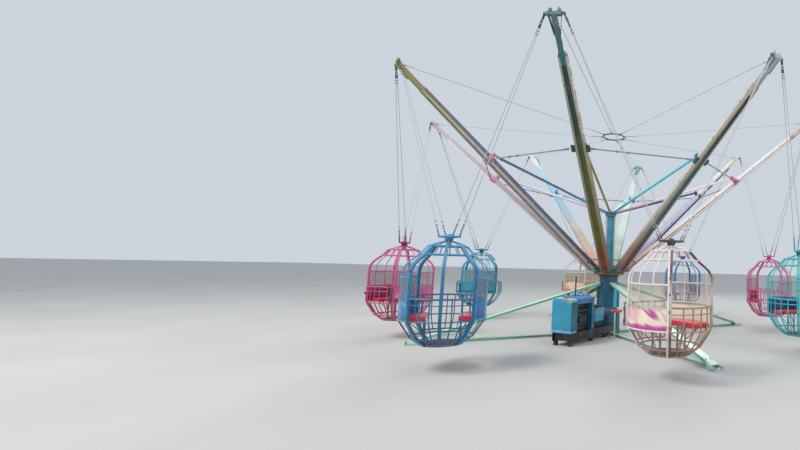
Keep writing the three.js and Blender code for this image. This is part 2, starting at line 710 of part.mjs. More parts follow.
// Gearbox on its plinth, with the pulley towards the engine and the shaft towards the column
function gearSolid() {
  return join([
    block(...GEARBOX),
    block(...GEAR_PLINTH),
    block(...GEAR_COVER),
    rod(...PULLEY, 140, 12),
    rod(...INPUT_SHAFT, 50, 8),
    rod(...OUTPUT_SHAFT, 55, 8),
  ]).subtract(columnClearance().translate([0, -ENGINE_SHIFT, 0]));
}

// Skid rails, cross members and legs under the engine and gearbox
function skidSolid() {
  const pieces = [];
  for (const low of [-ENGINE_HALF, ENGINE_HALF - SKID_LEG]) {
    const high = low + SKID_LEG;
    pieces.push(block([COLUMN_R, low, SKID_Z], [SKID_FRONT, high, SKID_TOP]));
    for (const x of SKID_LEG_X) pieces.push(block([x, low, 0], [x + SKID_LEG, high, SKID_Z + 5]));
  }
  for (const x of CROSS_X) {
    pieces.push(block([x, -ENGINE_HALF + 20, SKID_Z + 10], [x + SKID_LEG, ENGINE_HALF - 20, SKID_TOP]));
  }
  return join(pieces).subtract(columnClearance().translate([0, -ENGINE_SHIFT, 0]));
}

// Control lever: a post beside the gearbox with a cross handle, strapped to the column's drum
function leverSolid() {
  const half = LEVER_FOOT_HALF;
  const [x, y] = LEVER_POST;
  const [left, right] = HANDLE_REACH;
  const handleStart = [x, y + left, LEVER_HEIGHT];
  const handleEnd = [x, y + right, LEVER_HEIGHT];
  return join([
    block([x - half, -STRAP_HALF, 0], [x + half, y + half, LEVER_PLATE]),
    block([COLUMN_R, -STRAP_HALF, 0], [x, STRAP_HALF, LEVER_PLATE]),
    bar([x, y, LEVER_PLATE - 2], [x, y, LEVER_HEIGHT], LEVER_SIZE, LEVER_SIZE),
    bar(handleStart, handleEnd, HANDLE_SIZE, HANDLE_SIZE, [1, 0, 0]),
  ]).subtract(columnClearance());
}

const ride = new THREE.Group();

function addMesh(parent, name, geometry, color, roughness, metalness) {
  const mesh = new THREE.Mesh(geometry, material(color, roughness, metalness));
  mesh.name = name;
  parent.add(mesh);
  return mesh;
}

function turnedGroup(azimuth, radius = 0, turn = 0) {
  const group = new THREE.Group();
  const angle = rad(azimuth);
  group.position.set(radius * Math.sin(angle), -radius * Math.cos(angle), 0);
  group.rotation.z = angle - Math.PI / 2 + rad(turn);
  ride.add(group);
  return group;
}

function addBase() {
  addMesh(ride, 'column', toGeometry(columnSolid()), DEEP_TEAL, 0.45);
  const leg = toGeometry(legSolid());
  LEG_AZIMUTHS.forEach((azimuth, i) => {
    addMesh(turnedGroup(azimuth), `leg_${i + 1}`, leg, MINT, 0.55);
  });
}

function addEngine() {
  const group = turnedGroup(ENGINE_AZIMUTH);
  group.translateY(ENGINE_SHIFT);
  const parts = [
    ['radiator_housing', housingSolid(), BLUE],
    ['engine_hood', hoodSolid(), SKY],
    ['engine_block', engineSolid(), DARK],
    ['engine_rear_frame', rearSolid(), BLUE],
    ['gearbox', gearSolid(), SKY],
    ['engine_skid', skidSolid(), DARK],
    ['exhaust_pipe', rod(...EXHAUST, 18, 8), DARK],
  ];
  for (const [name, body, color] of parts) addMesh(group, name, toGeometry(body), color, 0.5);
  addMesh(turnedGroup(LEVER_AZIMUTH), 'control_lever', toGeometry(leverSolid()), RED, 0.5);
}

function addHead() {
  addMesh(ride, 'hub', toGeometry(hubSolid()), OLIVE, 0.5);
  addMesh(ride, 'mast', toGeometry(mastSolid()), SKY, 0.45);
  addMesh(ride, 'strut_star', toGeometry(strutStarSolid()), SKY, 0.5);
  addMesh(ride, 'stay_star', toGeometry(stayStarSolid()), STEEL, 0.4, 0.7);
  const arm = toGeometry(armSolid());
  for (let k = 0; k < ARM_COUNT; k += 1) {
    addMesh(turnedGroup(45 * k), `arm_${k + 1}`, arm, ARM_PAINTS[k], 0.5);
  }
}

function addCages() {
  const barred = toGeometry(cageSolid(false));
  const posted = toGeometry(cageSolid(true));
  const gate = toGeometry(gateSolid());
  const seats = toGeometry(seatsSolid());
  const hanger = toGeometry(hangerSolid());
  for (let k = 0; k < ARM_COUNT; k += 1) {
    const azimuth = 45 * k + 22.5;
    const group = turnedGroup(azimuth, CAGE_RADIUS, CAGE_TURNS[k]);
    const name = `cage_${k + 1}`;
    const frame = k + 1 === MIDDLE_POST_CAGE ? posted : barred;
    addMesh(group, `${name}_frame`, frame, CAGE_PAINTS[k], 0.45);
    addMesh(group, `${name}_gate`, gate, CAGE_PAINTS[k], 0.45);
    addMesh(group, `${name}_seats`, seats, RED, 0.35, 0);
    addMesh(turnedGroup(azimuth, CAGE_RADIUS), `${name}_hanger`, hanger, STEEL, 0.4, 0.7);
  }
}

addBase();
addEngine();
addHead();
addCages();

export default ride;
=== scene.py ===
"""Looks of the cage swing ride: dressed pieces over the CAD frame, in metres, +Z up."""

import math

import bmesh
import bpy
from mathutils import Matrix, Vector


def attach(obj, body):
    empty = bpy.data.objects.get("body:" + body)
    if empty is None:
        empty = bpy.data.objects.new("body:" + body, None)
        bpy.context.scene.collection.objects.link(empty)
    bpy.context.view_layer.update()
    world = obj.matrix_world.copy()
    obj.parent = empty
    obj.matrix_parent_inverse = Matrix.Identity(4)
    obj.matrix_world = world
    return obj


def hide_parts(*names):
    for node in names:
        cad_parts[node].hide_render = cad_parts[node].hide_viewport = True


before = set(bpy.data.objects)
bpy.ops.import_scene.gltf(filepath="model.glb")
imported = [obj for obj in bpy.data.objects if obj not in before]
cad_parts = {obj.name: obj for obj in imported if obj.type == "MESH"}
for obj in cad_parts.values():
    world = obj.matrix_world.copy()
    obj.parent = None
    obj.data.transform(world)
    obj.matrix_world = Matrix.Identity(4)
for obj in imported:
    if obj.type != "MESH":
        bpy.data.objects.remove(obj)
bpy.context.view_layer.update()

ARM_STEP = math.radians(45)
UP = Vector((0, 0, 1))
ACROSS = Vector((0, 1, 0))
OUT = Vector((1, 0, 0))
BOTH = (-1, 1)


# Shapes

class Shape:
    """Collects faces in a local frame and turns them into one piece."""

    def __init__(self, place=None):
        self.place = place or Matrix.Identity(4)
        self.verts = []
        self.faces = []
        self.kinds = []

    def add(self, verts, faces, paint, smooth=False):
        base = len(self.verts)
        self.verts += [self.place @ Vector(v) for v in verts]
        self.faces += [[base + i for i in face] for face in faces]
        paints = paint if isinstance(paint, list) else [paint] * len(faces)
        self.kinds += [(p, smooth) for p in paints]

    def merge(self, part):
        base = len(self.verts)
        self.verts += part.verts
        self.faces += [[base + i for i in face] for face in part.faces]
        self.kinds += part.kinds

    def piece(self, name, paints, body, node):
        """Makes the mesh, hangs it on its body and lets it stand for a CAD node."""
        mesh = bpy.data.meshes.new(name)
        mesh.from_pydata(self.verts, [], self.faces)
        for paint in paints:
            mesh.materials.append(paint)
        for polygon, (paint, smooth) in zip(mesh.polygons, self.kinds):
            polygon.material_index = paint
            polygon.use_smooth = smooth
        work = bmesh.new()
        work.from_mesh(mesh)
        bmesh.ops.recalc_face_normals(work, faces=work.faces)
        work.to_mesh(mesh)
        work.free()
        obj = bpy.data.objects.new(name, mesh)
        bpy.context.scene.collection.objects.link(obj)
        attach(obj, body)
        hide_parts(node)


def turns(count, shift=0.0, start=0.0):
    """Angles of a full turn in equal steps."""
    return [2 * math.pi * (i + shift) / count + start for i in range(count)]


def around(count, shift=0.0, start=0.0):
    """Level directions in equal steps of a full turn."""
    return [Vector((math.cos(t), math.sin(t), 0)) for t in turns(count, shift, start)]


def polar(radius, degrees, z, shift=0.0):
    """A place at an angle about the axis, with a shift to its side."""
    t = math.radians(degrees)
    return Vector((radius * math.cos(t) - shift * math.sin(t), radius * math.sin(t) + shift * math.cos(t), z))


def flat_section(width, thick, edge=0.003):
    w, t = width / 2, thick / 2
    e = min(edge, 0.45 * min(width, thick))
    half = [(w, t - e), (w - e, t), (e - w, t), (-w, t - e)]
    return half + [(-a, -b) for a, b in half]


def round_section(radius, sides=8):
    return [(radius * math.cos(t), radius * math.sin(t)) for t in turns(sides)]


def rounded(points, reach, steps=4):
    """A line whose inner corners become arcs that start at most reach away from them."""
    points = [Vector(p) for p in points]
    reaches = reach if isinstance(reach, list) else [reach] * (len(points) - 2)
    line = [points[0]]
    for before, corner, after, cut in zip(points, points[1:], points[2:], reaches):
        back, ahead = before - corner, after - corner
        cut = min(cut, 0.45 * back.length, 0.45 * ahead.length)
        a = corner + back.normalized() * cut
        b = corner + ahead.normalized() * cut
        for i in range(steps + 1):
            t = i / steps
            line.append(a * (1 - t) ** 2 + corner * (2 * t * (1 - t)) + b * t ** 2)
    return line + [points[-1]]


def stations(points, side, closed):
    """Place, side and normal vectors at each point of a line."""
    out = []
    for i, point in enumerate(points):
        first = not closed and i == 0
        last = not closed and i == len(points) - 1
        ahead = (points[(i + 1) % len(points)] - point).normalized() if not last else None
        back = (point - points[i - 1]).normalized() if not first else ahead
        ahead = ahead or back
        run = (back + ahead).normalized()
        u = (side - run * side.dot(run)).normalized()
        stretch = 1 / max(run.dot(ahead), 0.5)
        out.append((point, u, run.cross(u) * stretch))
    return out


def loft(shape, rings, paint=0, smooth=False, closed=False):
    """Skins a row of rings that all have the same number of points, and caps an open row."""
    sides = len(rings[0])
    faces, paints = [], []
    per_side = paint if isinstance(paint, list) else [paint] * sides
    for i in range(len(rings) if closed else len(rings) - 1):
        a, b = i * sides, ((i + 1) % len(rings)) * sides
        for j in range(sides):
            k = (j + 1) % sides
            faces.append([a + j, a + k, b + k, b + j])
            paints.append(per_side[j])
    shape.add([v for ring in rings for v in ring], faces, paints, smooth)
    if not closed:
        for ring in (rings[0], rings[-1]):
            shape.add(ring, [list(range(sides))], per_side[0])


def sweep(shape, points, section, side, paint, smooth=False, closed=False):
    """Runs a section along a flat line; the section's first axis lies along the side vector."""
    points = [Vector(p) for p in points]
    rings = [[p + u * a + v * b for a, b in section] for p, u, v in stations(points, side, closed)]
    loft(shape, rings, paint, smooth, closed)


def any_side(a, b):
    """A level direction across a line, or any across an upright one."""
    run = (Vector(b) - Vector(a)).normalized()
    return run.cross(UP if abs(run.z) < 0.9 else OUT).normalized()


def wire(shape, a, b, radius, paint=0, sides=8):
    """A straight round bar."""
    sweep(shape, [a, b], round_section(radius, sides), any_side(a, b), paint, smooth=True)


def flat(shape, a, b, width, thick, side=None, paint=0, edge=0.003):
    """A straight flat bar whose width lies along the side vector."""
    side = Vector(side) if side is not None else any_side(a, b)
    sweep(shape, [a, b], flat_section(width, thick, edge), side, paint)


def hoop(shape, radius, z, section, start=0.0, end=360.0, paint=0, smooth=False, sides=48):
    """A level ring, or a part of one from start to end in degrees."""
    full = end - start == 360
    count = sides if full else max(3, round(sides * (end - start) / 360) + 1)
    spread = count if full else count - 1
    line = [polar(radius, start + (end - start) * i / spread, z) for i in range(count)]
    sweep(shape, line, section, UP, paint, smooth, closed=full)


def lathe(shape, outline, centre=(0, 0, 0), axis=UP, sides=24, paint=0, smooth=True):
    """Turns an outline of radius and height points about an axis, with crisp corners."""
    axis = Vector(axis).normalized()
    u = axis.cross(OUT if abs(axis.x) < 0.9 else ACROSS).normalized()
    v = axis.cross(u)

    def circle(radius, height):
        base = Vector(centre) + axis * height
        return [base + u * (radius * math.cos(t)) + v * (radius * math.sin(t)) for t in turns(sides)]

    quads = [[j, (j + 1) % sides, sides + (j + 1) % sides, sides + j] for j in range(sides)]
    for (r0, h0), (r1, h1) in zip(outline, outline[1:]):
        if r0 and r1:
            shape.add(circle(r0, h0) + circle(r1, h1), quads, paint, smooth)
        elif r0 or r1:
            shape.add(circle(r0 or r1, h0 if r0 else h1), [list(range(sides))], paint)


def drum(shape, a, b, radius, sides, paint=0, edge=0.004):
    """A round boss between two points, with its edges eased."""
    a, b = Vector(a), Vector(b)
    length = (b - a).length
    e = min(edge, radius / 3, length / 3)
    outline = [(0, 0), (radius - e, 0), (radius, e), (radius, length - e), (radius - e, length), (0, length)]
    lathe(shape, outline, a, b - a, sides, paint)


def stub(shape, foot, run, length, radius, sides=20, paint=0, edge=0.004):
    """A drum that is given by its foot, its direction and its length."""
    foot = Vector(foot)
    drum(shape, foot, foot + run * length, radius, sides, paint, edge)


def bolt(shape, centre, axis, size, paint):
    """A hexagon head on a washer."""
    washer = [(0, 0), (size * 1.7, 0), (size * 1.7, size * 0.25), (0, size * 0.25)]
    head = [(size, size * 0.2), (size, size), (size * 0.85, size * 1.15), (0, size * 1.15)]
    lathe(shape, washer, centre, axis, 12, paint, False)
    lathe(shape, head, centre, axis, 6, paint, False)


def bevelled(shape, work, edge, segments, paint, smooth=False):
    sharp = [e for e in work.edges if e.calc_face_angle(0) > 0.4]
    bmesh.ops.bevel(work, geom=sharp, offset=edge, segments=segments, affect="EDGES", profile=0.5)
    work.verts.index_update()
    faces = [[v.index for v in face.verts] for face in work.faces]
    shape.add([v.co.copy() for v in work.verts], faces, paint, smooth)
    work.free()


def block(shape, low, high, edge=0.005, paint=0, segments=2):
    low, high = Vector(low), Vector(high)
    size = high - low
    work = bmesh.new()
    bmesh.ops.create_cube(work, size=1)
    for v in work.verts:
        v.co = (low + high) / 2 + Vector([v.co[i] * size[i] for i in range(3)])
    bevelled(shape, work, min(edge, 0.3 * min(size)), segments, paint)


def centred(shape, x, half, z, edge=0.005, paint=0, segments=2):
    """A block with its middle on y = 0, from its two x, half its width and its two z."""
    block(shape, (x[0], -half, z[0]), (x[1], half, z[1]), edge, paint, segments)


def slab(shape, outline, low, high, turn, edge, segments=2, paint=0, smooth=False):
    """An outline in x and y that is drawn up from low to high, then turned by a matrix."""
    work = bmesh.new()
    bottom, top = ([work.verts.new((x, y, z)) for x, y in outline] for z in (low, high))
    work.faces.new(bottom[::-1])
    work.faces.new(top)
    for i in range(len(outline)):
        j = (i + 1) % len(outline)
        work.faces.new((bottom[i], bottom[j], top[j], top[i]))
    if turn is not None:
        bmesh.ops.transform(work, matrix=turn, verts=work.verts)
    bmesh.ops.recalc_face_normals(work, faces=work.faces)
    bevelled(shape, work, edge, segments, paint, smooth)


def curved_sheet(shape, radius, thick, start, end, low, high, paints):
    """A thin sheet on a cylinder with one paint outside and one inside."""
    columns, rows = 18, 6
    across, offset = columns + 1, (columns + 1) * (rows + 1)
    angles = [start + (end - start) * i / columns for i in range(across)]
    heights = [low + (high - low) * j / rows for j in range(rows + 1)]
    verts = [polar(r, angle, z) for r in (radius, radius - thick) for z in heights for angle in angles]
    corners = [j * across + i for j in range(rows) for i in range(columns)]
    outside = [[a, a + 1, a + 1 + across, a + across] for a in corners]
    inside = [[offset + k for k in reversed(quad)] for quad in outside]
    rim = list(range(across)) + [j * across + columns for j in range(1, rows + 1)]
    rim += [rows * across + i for i in range(columns - 1, -1, -1)]
    rim += [j * across for j in range(rows - 1, 0, -1)]
    edge = [[a, b, offset + b, offset + a] for a, b in zip(rim, rim[1:] + rim[:1])]
    coats = [paints[0]] * len(outside) + [paints[1]] * len(inside) + [paints[0]] * len(edge)
    shape.add(verts, outside + inside + edge, coats)


# Small fittings

def turnbuckle(shape, a, b, size, paint):
    """An open body with two nuts and the threads that reach into it."""
    a, b = Vector(a), Vector(b)
    run = (b - a).normalized()
    side = any_side(a, b)
    nut = run * (size * 1.1)
    for start, end in ((a, a + nut), (b - nut, b)):
        drum(shape, start, end, size * 0.85, 10, paint, 0.002)
    for sign in BOTH:
        off = side * (sign * size * 0.62)
        flat(shape, a + nut * 0.5 + off, b - nut * 0.5 + off, size * 0.5, size * 0.34, run.cross(side), paint)
    gap = run * ((b - a).length * 0.3)
    wire(shape, a, a + gap, size * 0.34, paint)
    wire(shape, b - gap, b, size * 0.34, paint)


def clip(shape, centre, run, size, paint):
    """A wire rope clip: a saddle with two nuts."""
    side = any_side(centre, centre + run)
    top = run.cross(side)
    flat(shape, centre - side * size * 1.5, centre + side * size * 1.5, size * 1.2, size * 1.3, run, paint)
    for sign in BOTH:
        at = centre + side * (sign * size * 1.1)
        wire(shape, at - top * size * 1.4, at + top * size * 1.7, size * 0.32, paint, 6)


def link(shape, centre, run, side, length, width, radius, paint):
    """One oval chain link in the plane of its run and side."""
    half, bend = (length - width) / 2, width / 2 - radius
    line = []
    for sign in (1, -1):
        for t in [math.pi * i / 6 for i in range(7)]:
            along, off = half + bend * math.sin(t), bend * math.cos(t)
            line.append(centre + run * (sign * along) + side * (sign * off))
    sweep(shape, line, round_section(radius, 6), run.cross(side), paint, True, closed=True)


def turned_place(azimuth, radius=0.0, turn=0.0):
    """The frame at an azimuth: x points outwards, azimuth 0 lies along -Y."""
    angle = math.radians(azimuth)
    place = Matrix.Translation((radius * math.sin(angle), -radius * math.cos(angle), 0))
    return place @ Matrix.Rotation(angle - math.pi / 2 + math.radians(turn), 4, "Z")


# Materials

def colour(code):
    """A linear colour with alpha from a six digit sRGB code."""
    parts = [int(code[i:i + 2], 16) / 255 for i in (0, 2, 4)]
    return tuple(p / 12.92 if p <= 0.04045 else ((p + 0.055) / 1.055) ** 2.4 for p in parts) + (1.0,)


class Paintwork:
    """A node tree on its way to one Principled material."""

    def __init__(self, name):
        self.material = bpy.data.materials.new(name)
        self.material.use_nodes = True
        self.tree = self.material.node_tree
        self.shader = self.tree.nodes["Principled BSDF"]
        self.place = self.tree.nodes.new("ShaderNodeTexCoord").outputs["Object"]

    def node(self, kind, **inputs):
        node = self.tree.nodes.new(kind)
        for key, value in inputs.items():
            self.put(node, key, value)
        return node

    def put(self, node, key, value):
        """Links or sets an input that is given by its name or by an underscore and its number."""
        socket = node.inputs[int(key[1:]) if key[0] == "_" else key.replace("_", " ")]
        if isinstance(value, bpy.types.NodeSocket):
            self.tree.links.new(value, socket)
        else:
            socket.default_value = value

    def stretched(self, scale, turn=None):
        """Coordinates that are turned first and then stretched."""
        vector = self.place
        if turn:
            vector = self.node("ShaderNodeMapping", Vector=vector, Rotation=turn).outputs["Vector"]
        return self.node("ShaderNodeMapping", Vector=vector, Scale=scale).outputs["Vector"]

    def grain(self, scale, detail, rough, vector=None, distortion=0.0):
        node = self.node("ShaderNodeTexNoise", Vector=vector or self.place, Scale=scale, Detail=detail)
        self.put(node, "Roughness", rough)
        self.put(node, "Distortion", distortion)
        return node.outputs["Fac"]

    def spread(self, value, low, high, to_low=0.0, to_high=1.0):
        node = self.node("ShaderNodeMapRange", Value=value, From_Min=low, From_Max=high)
        node.interpolation_type = "SMOOTHSTEP"
        self.put(node, "To_Min", to_low)
        self.put(node, "To_Max", to_high)
        return node.outputs["Result"]

    def cloud(self, grain, low, high, to_low=0.0, to_high=1.0):
        """Soft patches: noise that rises from one strength to another between two levels."""
        return self.spread(self.grain(*grain), low, high, to_low, to_high)

    def math(self, kind, a, b):
        node = self.node("ShaderNodeMath", _0=a, _1=b)
        node.operation = kind
        return node.outputs[0]

    def times(self, a, b):
        return self.math("MULTIPLY", a, b)

    def minus(self, a, b):
        return self.math("SUBTRACT", a, b)

    def plus(self, a, b):
        return self.math("ADD", a, b)

    def ragged(self, amount, grain):
        """Noise about zero that makes a border uneven."""
        return self.times(self.minus(self.grain(*grain), 0.5), amount)

    def mix(self, share, a, b):
        node = self.node("ShaderNodeMix")
        node.data_type = "RGBA"
        for key, value in (("_0", share), ("_6", a), ("_7", b)):
            self.put(node, key, value)
        return node.outputs[2]

    def drift(self, tones, *cloud):
        """The first and last of some tones, which run into each other in soft patches."""
        codes = tones.split()
        return self.mix(self.cloud(*cloud), colour(codes[0]), colour(codes[-1]))

    def ramp(self, value, tones):
        """Tones at equal steps of a value from 0 to 1."""
        node = self.node("ShaderNodeValToRGB", Fac=value)
        elements, codes = node.color_ramp.elements, tones.split()
        while len(elements) < len(codes):
            elements.new(0.5)
        for i, (element, code) in enumerate(zip(elements, codes)):
            element.position = i / (len(codes) - 1)
            element.color = colour(code)
        return node.outputs["Color"]

    def upright(self, vector):
        return self.node("ShaderNodeSeparateXYZ", Vector=vector).outputs["Z"]

    def facing_up(self):
        return self.upright(self.node("ShaderNodeNewGeometry").outputs["Normal"])

    def along(self, direction, low, high):
        """The place along a direction, as a share of the way from low to high."""
        node = self.node("ShaderNodeVectorMath", _0=self.place, _1=direction)
        node.operation = "DOT_PRODUCT"
        share = self.node("ShaderNodeMapRange", Value=node.outputs["Value"], From_Min=low, From_Max=high)
        return share.outputs["Result"]

    def bump(self, height, strength, distance):
        node = self.node("ShaderNodeBump", Height=height, Strength=strength, Distance=distance)
        self.put(self.shader, "Normal", node.outputs["Normal"])

    def finish(self, base, rough, **fixed):
        self.put(self.shader, "Base Color", base)
        self.put(self.shader, "Roughness", rough)
        for key, value in fixed.items():
            self.put(self.shader, key, value)
        return self.material


RUST = colour("6b3a22")
DUST = colour("b39c7c")
OLD_COAT = colour("a8a294")


def wear_over(work, base, chips=0.6, dust=0.25, fade=OLD_COAT, faded=0.22, rough=0.40):
    """Adds faded patches, runs, chips and dust to a base colour; gives colour and roughness."""
    base = work.mix(work.cloud((2.6, 6, 0.62), 0.50, 0.72, 0.0, faded), base, fade)
    runs = work.cloud((1.0, 4, 0.6, work.stretched((11, 11, 1.1))), 0.57, 0.80, 0.0, 0.40)
    base = work.mix(runs, base, RUST)
    areas = work.cloud((1.7, 3, 0.5), 0.30, 0.75, 0.06, -0.02 - 0.07 * chips)
    chipped = work.spread(work.minus(work.grain(31, 7, 0.72), areas), 0.625, 0.665)
    base = work.mix(chipped, base, RUST)
    lying = work.spread(work.facing_up(), 0.25, 0.95, 0.0, dust)
    dusty = work.times(lying, work.cloud((5.5, 5, 0.65), 0.28, 0.72, 0.3, 1.0))
    base = work.mix(dusty, base, DUST)
    sheen = work.cloud((7.0, 4, 0.6), 0.3, 0.7, rough - 0.10, rough + 0.14)
    dull = work.math("MAXIMUM", chipped, dusty)
    work.bump(work.minus(work.grain(60, 4, 0.6), work.times(chipped, 0.8)), 0.22, 0.0015)
    return base, work.plus(sheen, work.times(dull, 0.32))


def worn_paint(name, tones, coat=0.25, **wear):
    """Old brush paint in one tone or in two that run into each other."""
    work = Paintwork(name)
    base, rough = wear_over(work, work.drift(tones, (1.3, 5, 0.55), 0.38, 0.66), **wear)
    return work.finish(base, rough, Coat_Weight=coat, Coat_Roughness=0.28)


def ramped_paint(name, direction, low, high, tones, ragged=0.3, coat=0.25, **wear):
    """Paint that changes along a direction in patches with ragged borders."""
    work = Paintwork(name)
    place = work.plus(work.along(direction, low, high), work.ragged(ragged, (1.9, 6, 0.6)))
    base, rough = wear_over(work, work.ramp(place, tones), **wear)
    return work.finish(base, rough, Coat_Weight=coat, Coat_Roughness=0.3)


def panel_paint(name, clear_tone, tones, edge_tone, streaks, alpha):
    """A curved wall: painted below with soft sloping streaks, a worn clear sheet above."""
    work = Paintwork(name)
    painted = work.drift(tones, (2.1, 4, 0.5), 0.35, 0.7)
    wide = work.grain(0.9, 2, 0.45, work.stretched((0.9, 0.9, 3.4), (0.0, -0.62, 0.0)), 0.5)
    for low, high, tone in streaks:
        inside = work.times(work.spread(wide, low, low + 0.06), work.spread(wide, high + 0.06, high))
        painted = work.mix(inside, painted, colour(tone))
    level = work.plus(work.upright(work.place), work.ragged(0.16, (2.6, 3, 0.5)))
    painted = work.mix(work.spread(level, 0.885, 0.825), painted, colour(edge_tone))
    grime = (3.0, 6, 0.6, work.stretched((3, 3, 0.8)))
    sheet = work.drift(clear_tone + " 8a7a62", grime, 0.42, 0.75)
    above = work.spread(level, 1.04, 1.12)
    base = work.mix(above, painted, sheet)
    base = work.mix(work.cloud((42, 6, 0.7), 0.66, 0.70), base, RUST)
    sheer = work.cloud((5.0, 4, 0.6), 0.3, 0.75, 1.06 - alpha, 0.88 - alpha)
    work.put(work.shader, "Alpha", work.minus(1.0, work.times(above, sheer)))
    work.bump(work.grain(9, 3, 0.5), 0.06, 0.002)
    rough = work.cloud((6.0, 4, 0.6), 0.3, 0.7, 0.14, 0.32)
    return work.finish(base, rough, Coat_Weight=0.6, Coat_Roughness=0.08)


def housing_paint():
    """Turquoise engine sheet with a paler top that is painted light, a paler foot strip and a yellowed
    smudge.
    """
    work = Paintwork("housing_coat")
    base = work.drift("1f93b0 2aa3bd", (1.6, 5, 0.55), 0.38, 0.68)
    level = work.plus(work.upright(work.place), work.ragged(0.05, (4.0, 5, 0.6)))
    base = work.mix(work.spread(level, 0.335, 0.325), base, colour("5fb4d4"))
    # up-facing faces turn paler: painted light from above
    base = work.mix(work.spread(work.facing_up(), 0.25, 0.8), base, colour("8fc9e2"))
    smudge = work.times(work.spread(level, 0.80, 0.90), work.cloud((3.1, 4, 0.6), 0.44, 0.62, 0, 0.8))
    base = work.mix(smudge, base, colour("b5b06a"))
    base, rough = wear_over(work, base, chips=0.6, faded=0.15, dust=0.05)
    return work.finish(base, rough, Coat_Weight=0.3, Coat_Roughness=0.2)


def bare_steel(name, tone, rust, rough=0.45):
    work = Paintwork(name)
    rusted = work.cloud((9, 7, 0.7), 0.62 - 0.2 * rust, 0.78 - 0.2 * rust)
    work.bump(work.grain(85, 4, 0.6), 0.2, 0.001)
    base = work.mix(rusted, colour(tone), RUST)
    metal = work.spread(rusted, 0.0, 1.0, 0.85, 0.1)
    return work.finish(base, work.spread(rusted, 0.0, 1.0, rough, 0.85), Metallic=metal)


def wire_rope():
    """Twisted strands with old grease in their grooves."""
    work = Paintwork("wire_rope")
    twisted = work.stretched((1, 1, 1), (0.7, 0.5, 0.0))
    strands = work.node("ShaderNodeTexWave", Vector=twisted, Scale=34.0).outputs["Fac"]
    base = work.mix(work.spread(strands, 0.05, 0.55), colour("b4b4b2"), colour("c0c3c6"))
    base = work.mix(work.cloud((6, 5, 0.6), 0.45, 0.75, 0.0, 0.15), base, RUST)
    work.bump(strands, 0.5, 0.002)
    return work.finish(base, 0.60)


def bench_gloss():
    """Glossy red bench coat with soft paler pink patches, a painted highlight, and dark scuffs."""
    work = Paintwork("bench_red")
    # paler pink patches: painted highlight
    base = work.drift("cf1f3c ee6f86", (3.4, 5, 0.6), 0.42, 0.72, 0.0, 0.6)
    scuffs = work.cloud((2.0, 6, 0.7, work.stretched((3, 14, 3))), 0.62, 0.74, 0.0, 0.5)
    base = work.mix(scuffs, base, colour("8c1a2a"))
    base = work.mix(work.cloud((36, 6, 0.7), 0.67, 0.70), base, colour("d9c4a8"))
    work.bump(work.grain(22, 4, 0.5), 0.10, 0.002)
    rough = work.cloud((8, 4, 0.6), 0.3, 0.7, 0.16, 0.36)
    return work.finish(base, rough, Coat_Weight=0.5, Coat_Roughness=0.12)


def floor_paint():
    work = Paintwork("studio_floor")
    return work.finish(work.drift("bdbbb7 c4c2be", (0.35, 4, 0.5), 0.3, 0.7), 0.9)


# Cages: local frame on the cage's own axis, x turned outwards

CAGE_RADIUS = 4.61028
HALF_SPAN = 1.74728
TIP_Z = 5.328
CAGE_TURNS = [160, 7, 0, 0, 0, 0, 0, 184]
CAGE_R = 0.625
TOP_RING = (0.288, 1.890)
DOME_RING = (0.405, 1.755)
SHOULDER = (CAGE_R, 1.570)
GLAZING_TOP = 1.410
RAIL_Z = 1.100
SECOND_RAIL_Z = 1.010
BELT_Z = 0.775
BELT = (CAGE_R, BELT_Z)
LOWER_RING = (0.455, 0.505)
BOTTOM_RING = (0.300, 0.390)
POST_LINE = [BOTTOM_RING, LOWER_RING, BELT, SHOULDER, DOME_RING, TOP_RING]
POST_BENDS = [0.04, 0.06, 0.13, 0.05]
GATE_FOOT = (0.484, 0.551)
HINGE = Vector((0.024, 0.680, 0))
STEM_TOP = 1.995
YOKE_Z = 2.060
YOKE_HALF = 0.165
YOKE_SIDE = 0.076
THIN_BAR = round_section(0.0085)
RAIL_BAR = round_section(0.0145, 10)
SECOND_BAR = round_section(0.008)
# angles of the upright bars between two posts, and of the open basket's bars
WALL_BARS = (22.5, 45, 67.5)
BASKET_BARS = (198, 211.5, 225, 238.5, 252)
# paints of a cage frame
POST, RIM, WALL, METAL, BARS, INSIDE = range(6)


def rib(shape, outline, degrees, section, bends, shift, paint, smooth=False):
    """A bent bar in the upright plane at an angle of the cage."""
    line = [polar(r, degrees, z, shift) for r, z in outline]
    line = rounded(line, bends) if bends else line
    sweep(shape, line, section, polar(1, degrees + 90, 0), paint, smooth)


def cage_posts(shape):
    """Four posts, each a pair of flat bars that are bolted together; the bar beside a wall takes the paler
    rim coat and the other the darker post coat, painted light and shade over the posts' own paint.
    """
    bar = flat_section(0.027, 0.032, 0.004)
    for angle in (0, 90, 180, 270):
        for sign in BOTH:
            beside_wall = (angle in (90, 270)) == (sign > 0)
            rib(shape, POST_LINE, angle, bar, POST_BENDS, sign * 0.0175, RIM if beside_wall else POST)
        for z in (0.84, 1.05, 1.28, 1.50):
            bolt(shape, polar(CAGE_R + 0.017, angle, z), polar(1, angle, 0), 0.008, METAL)


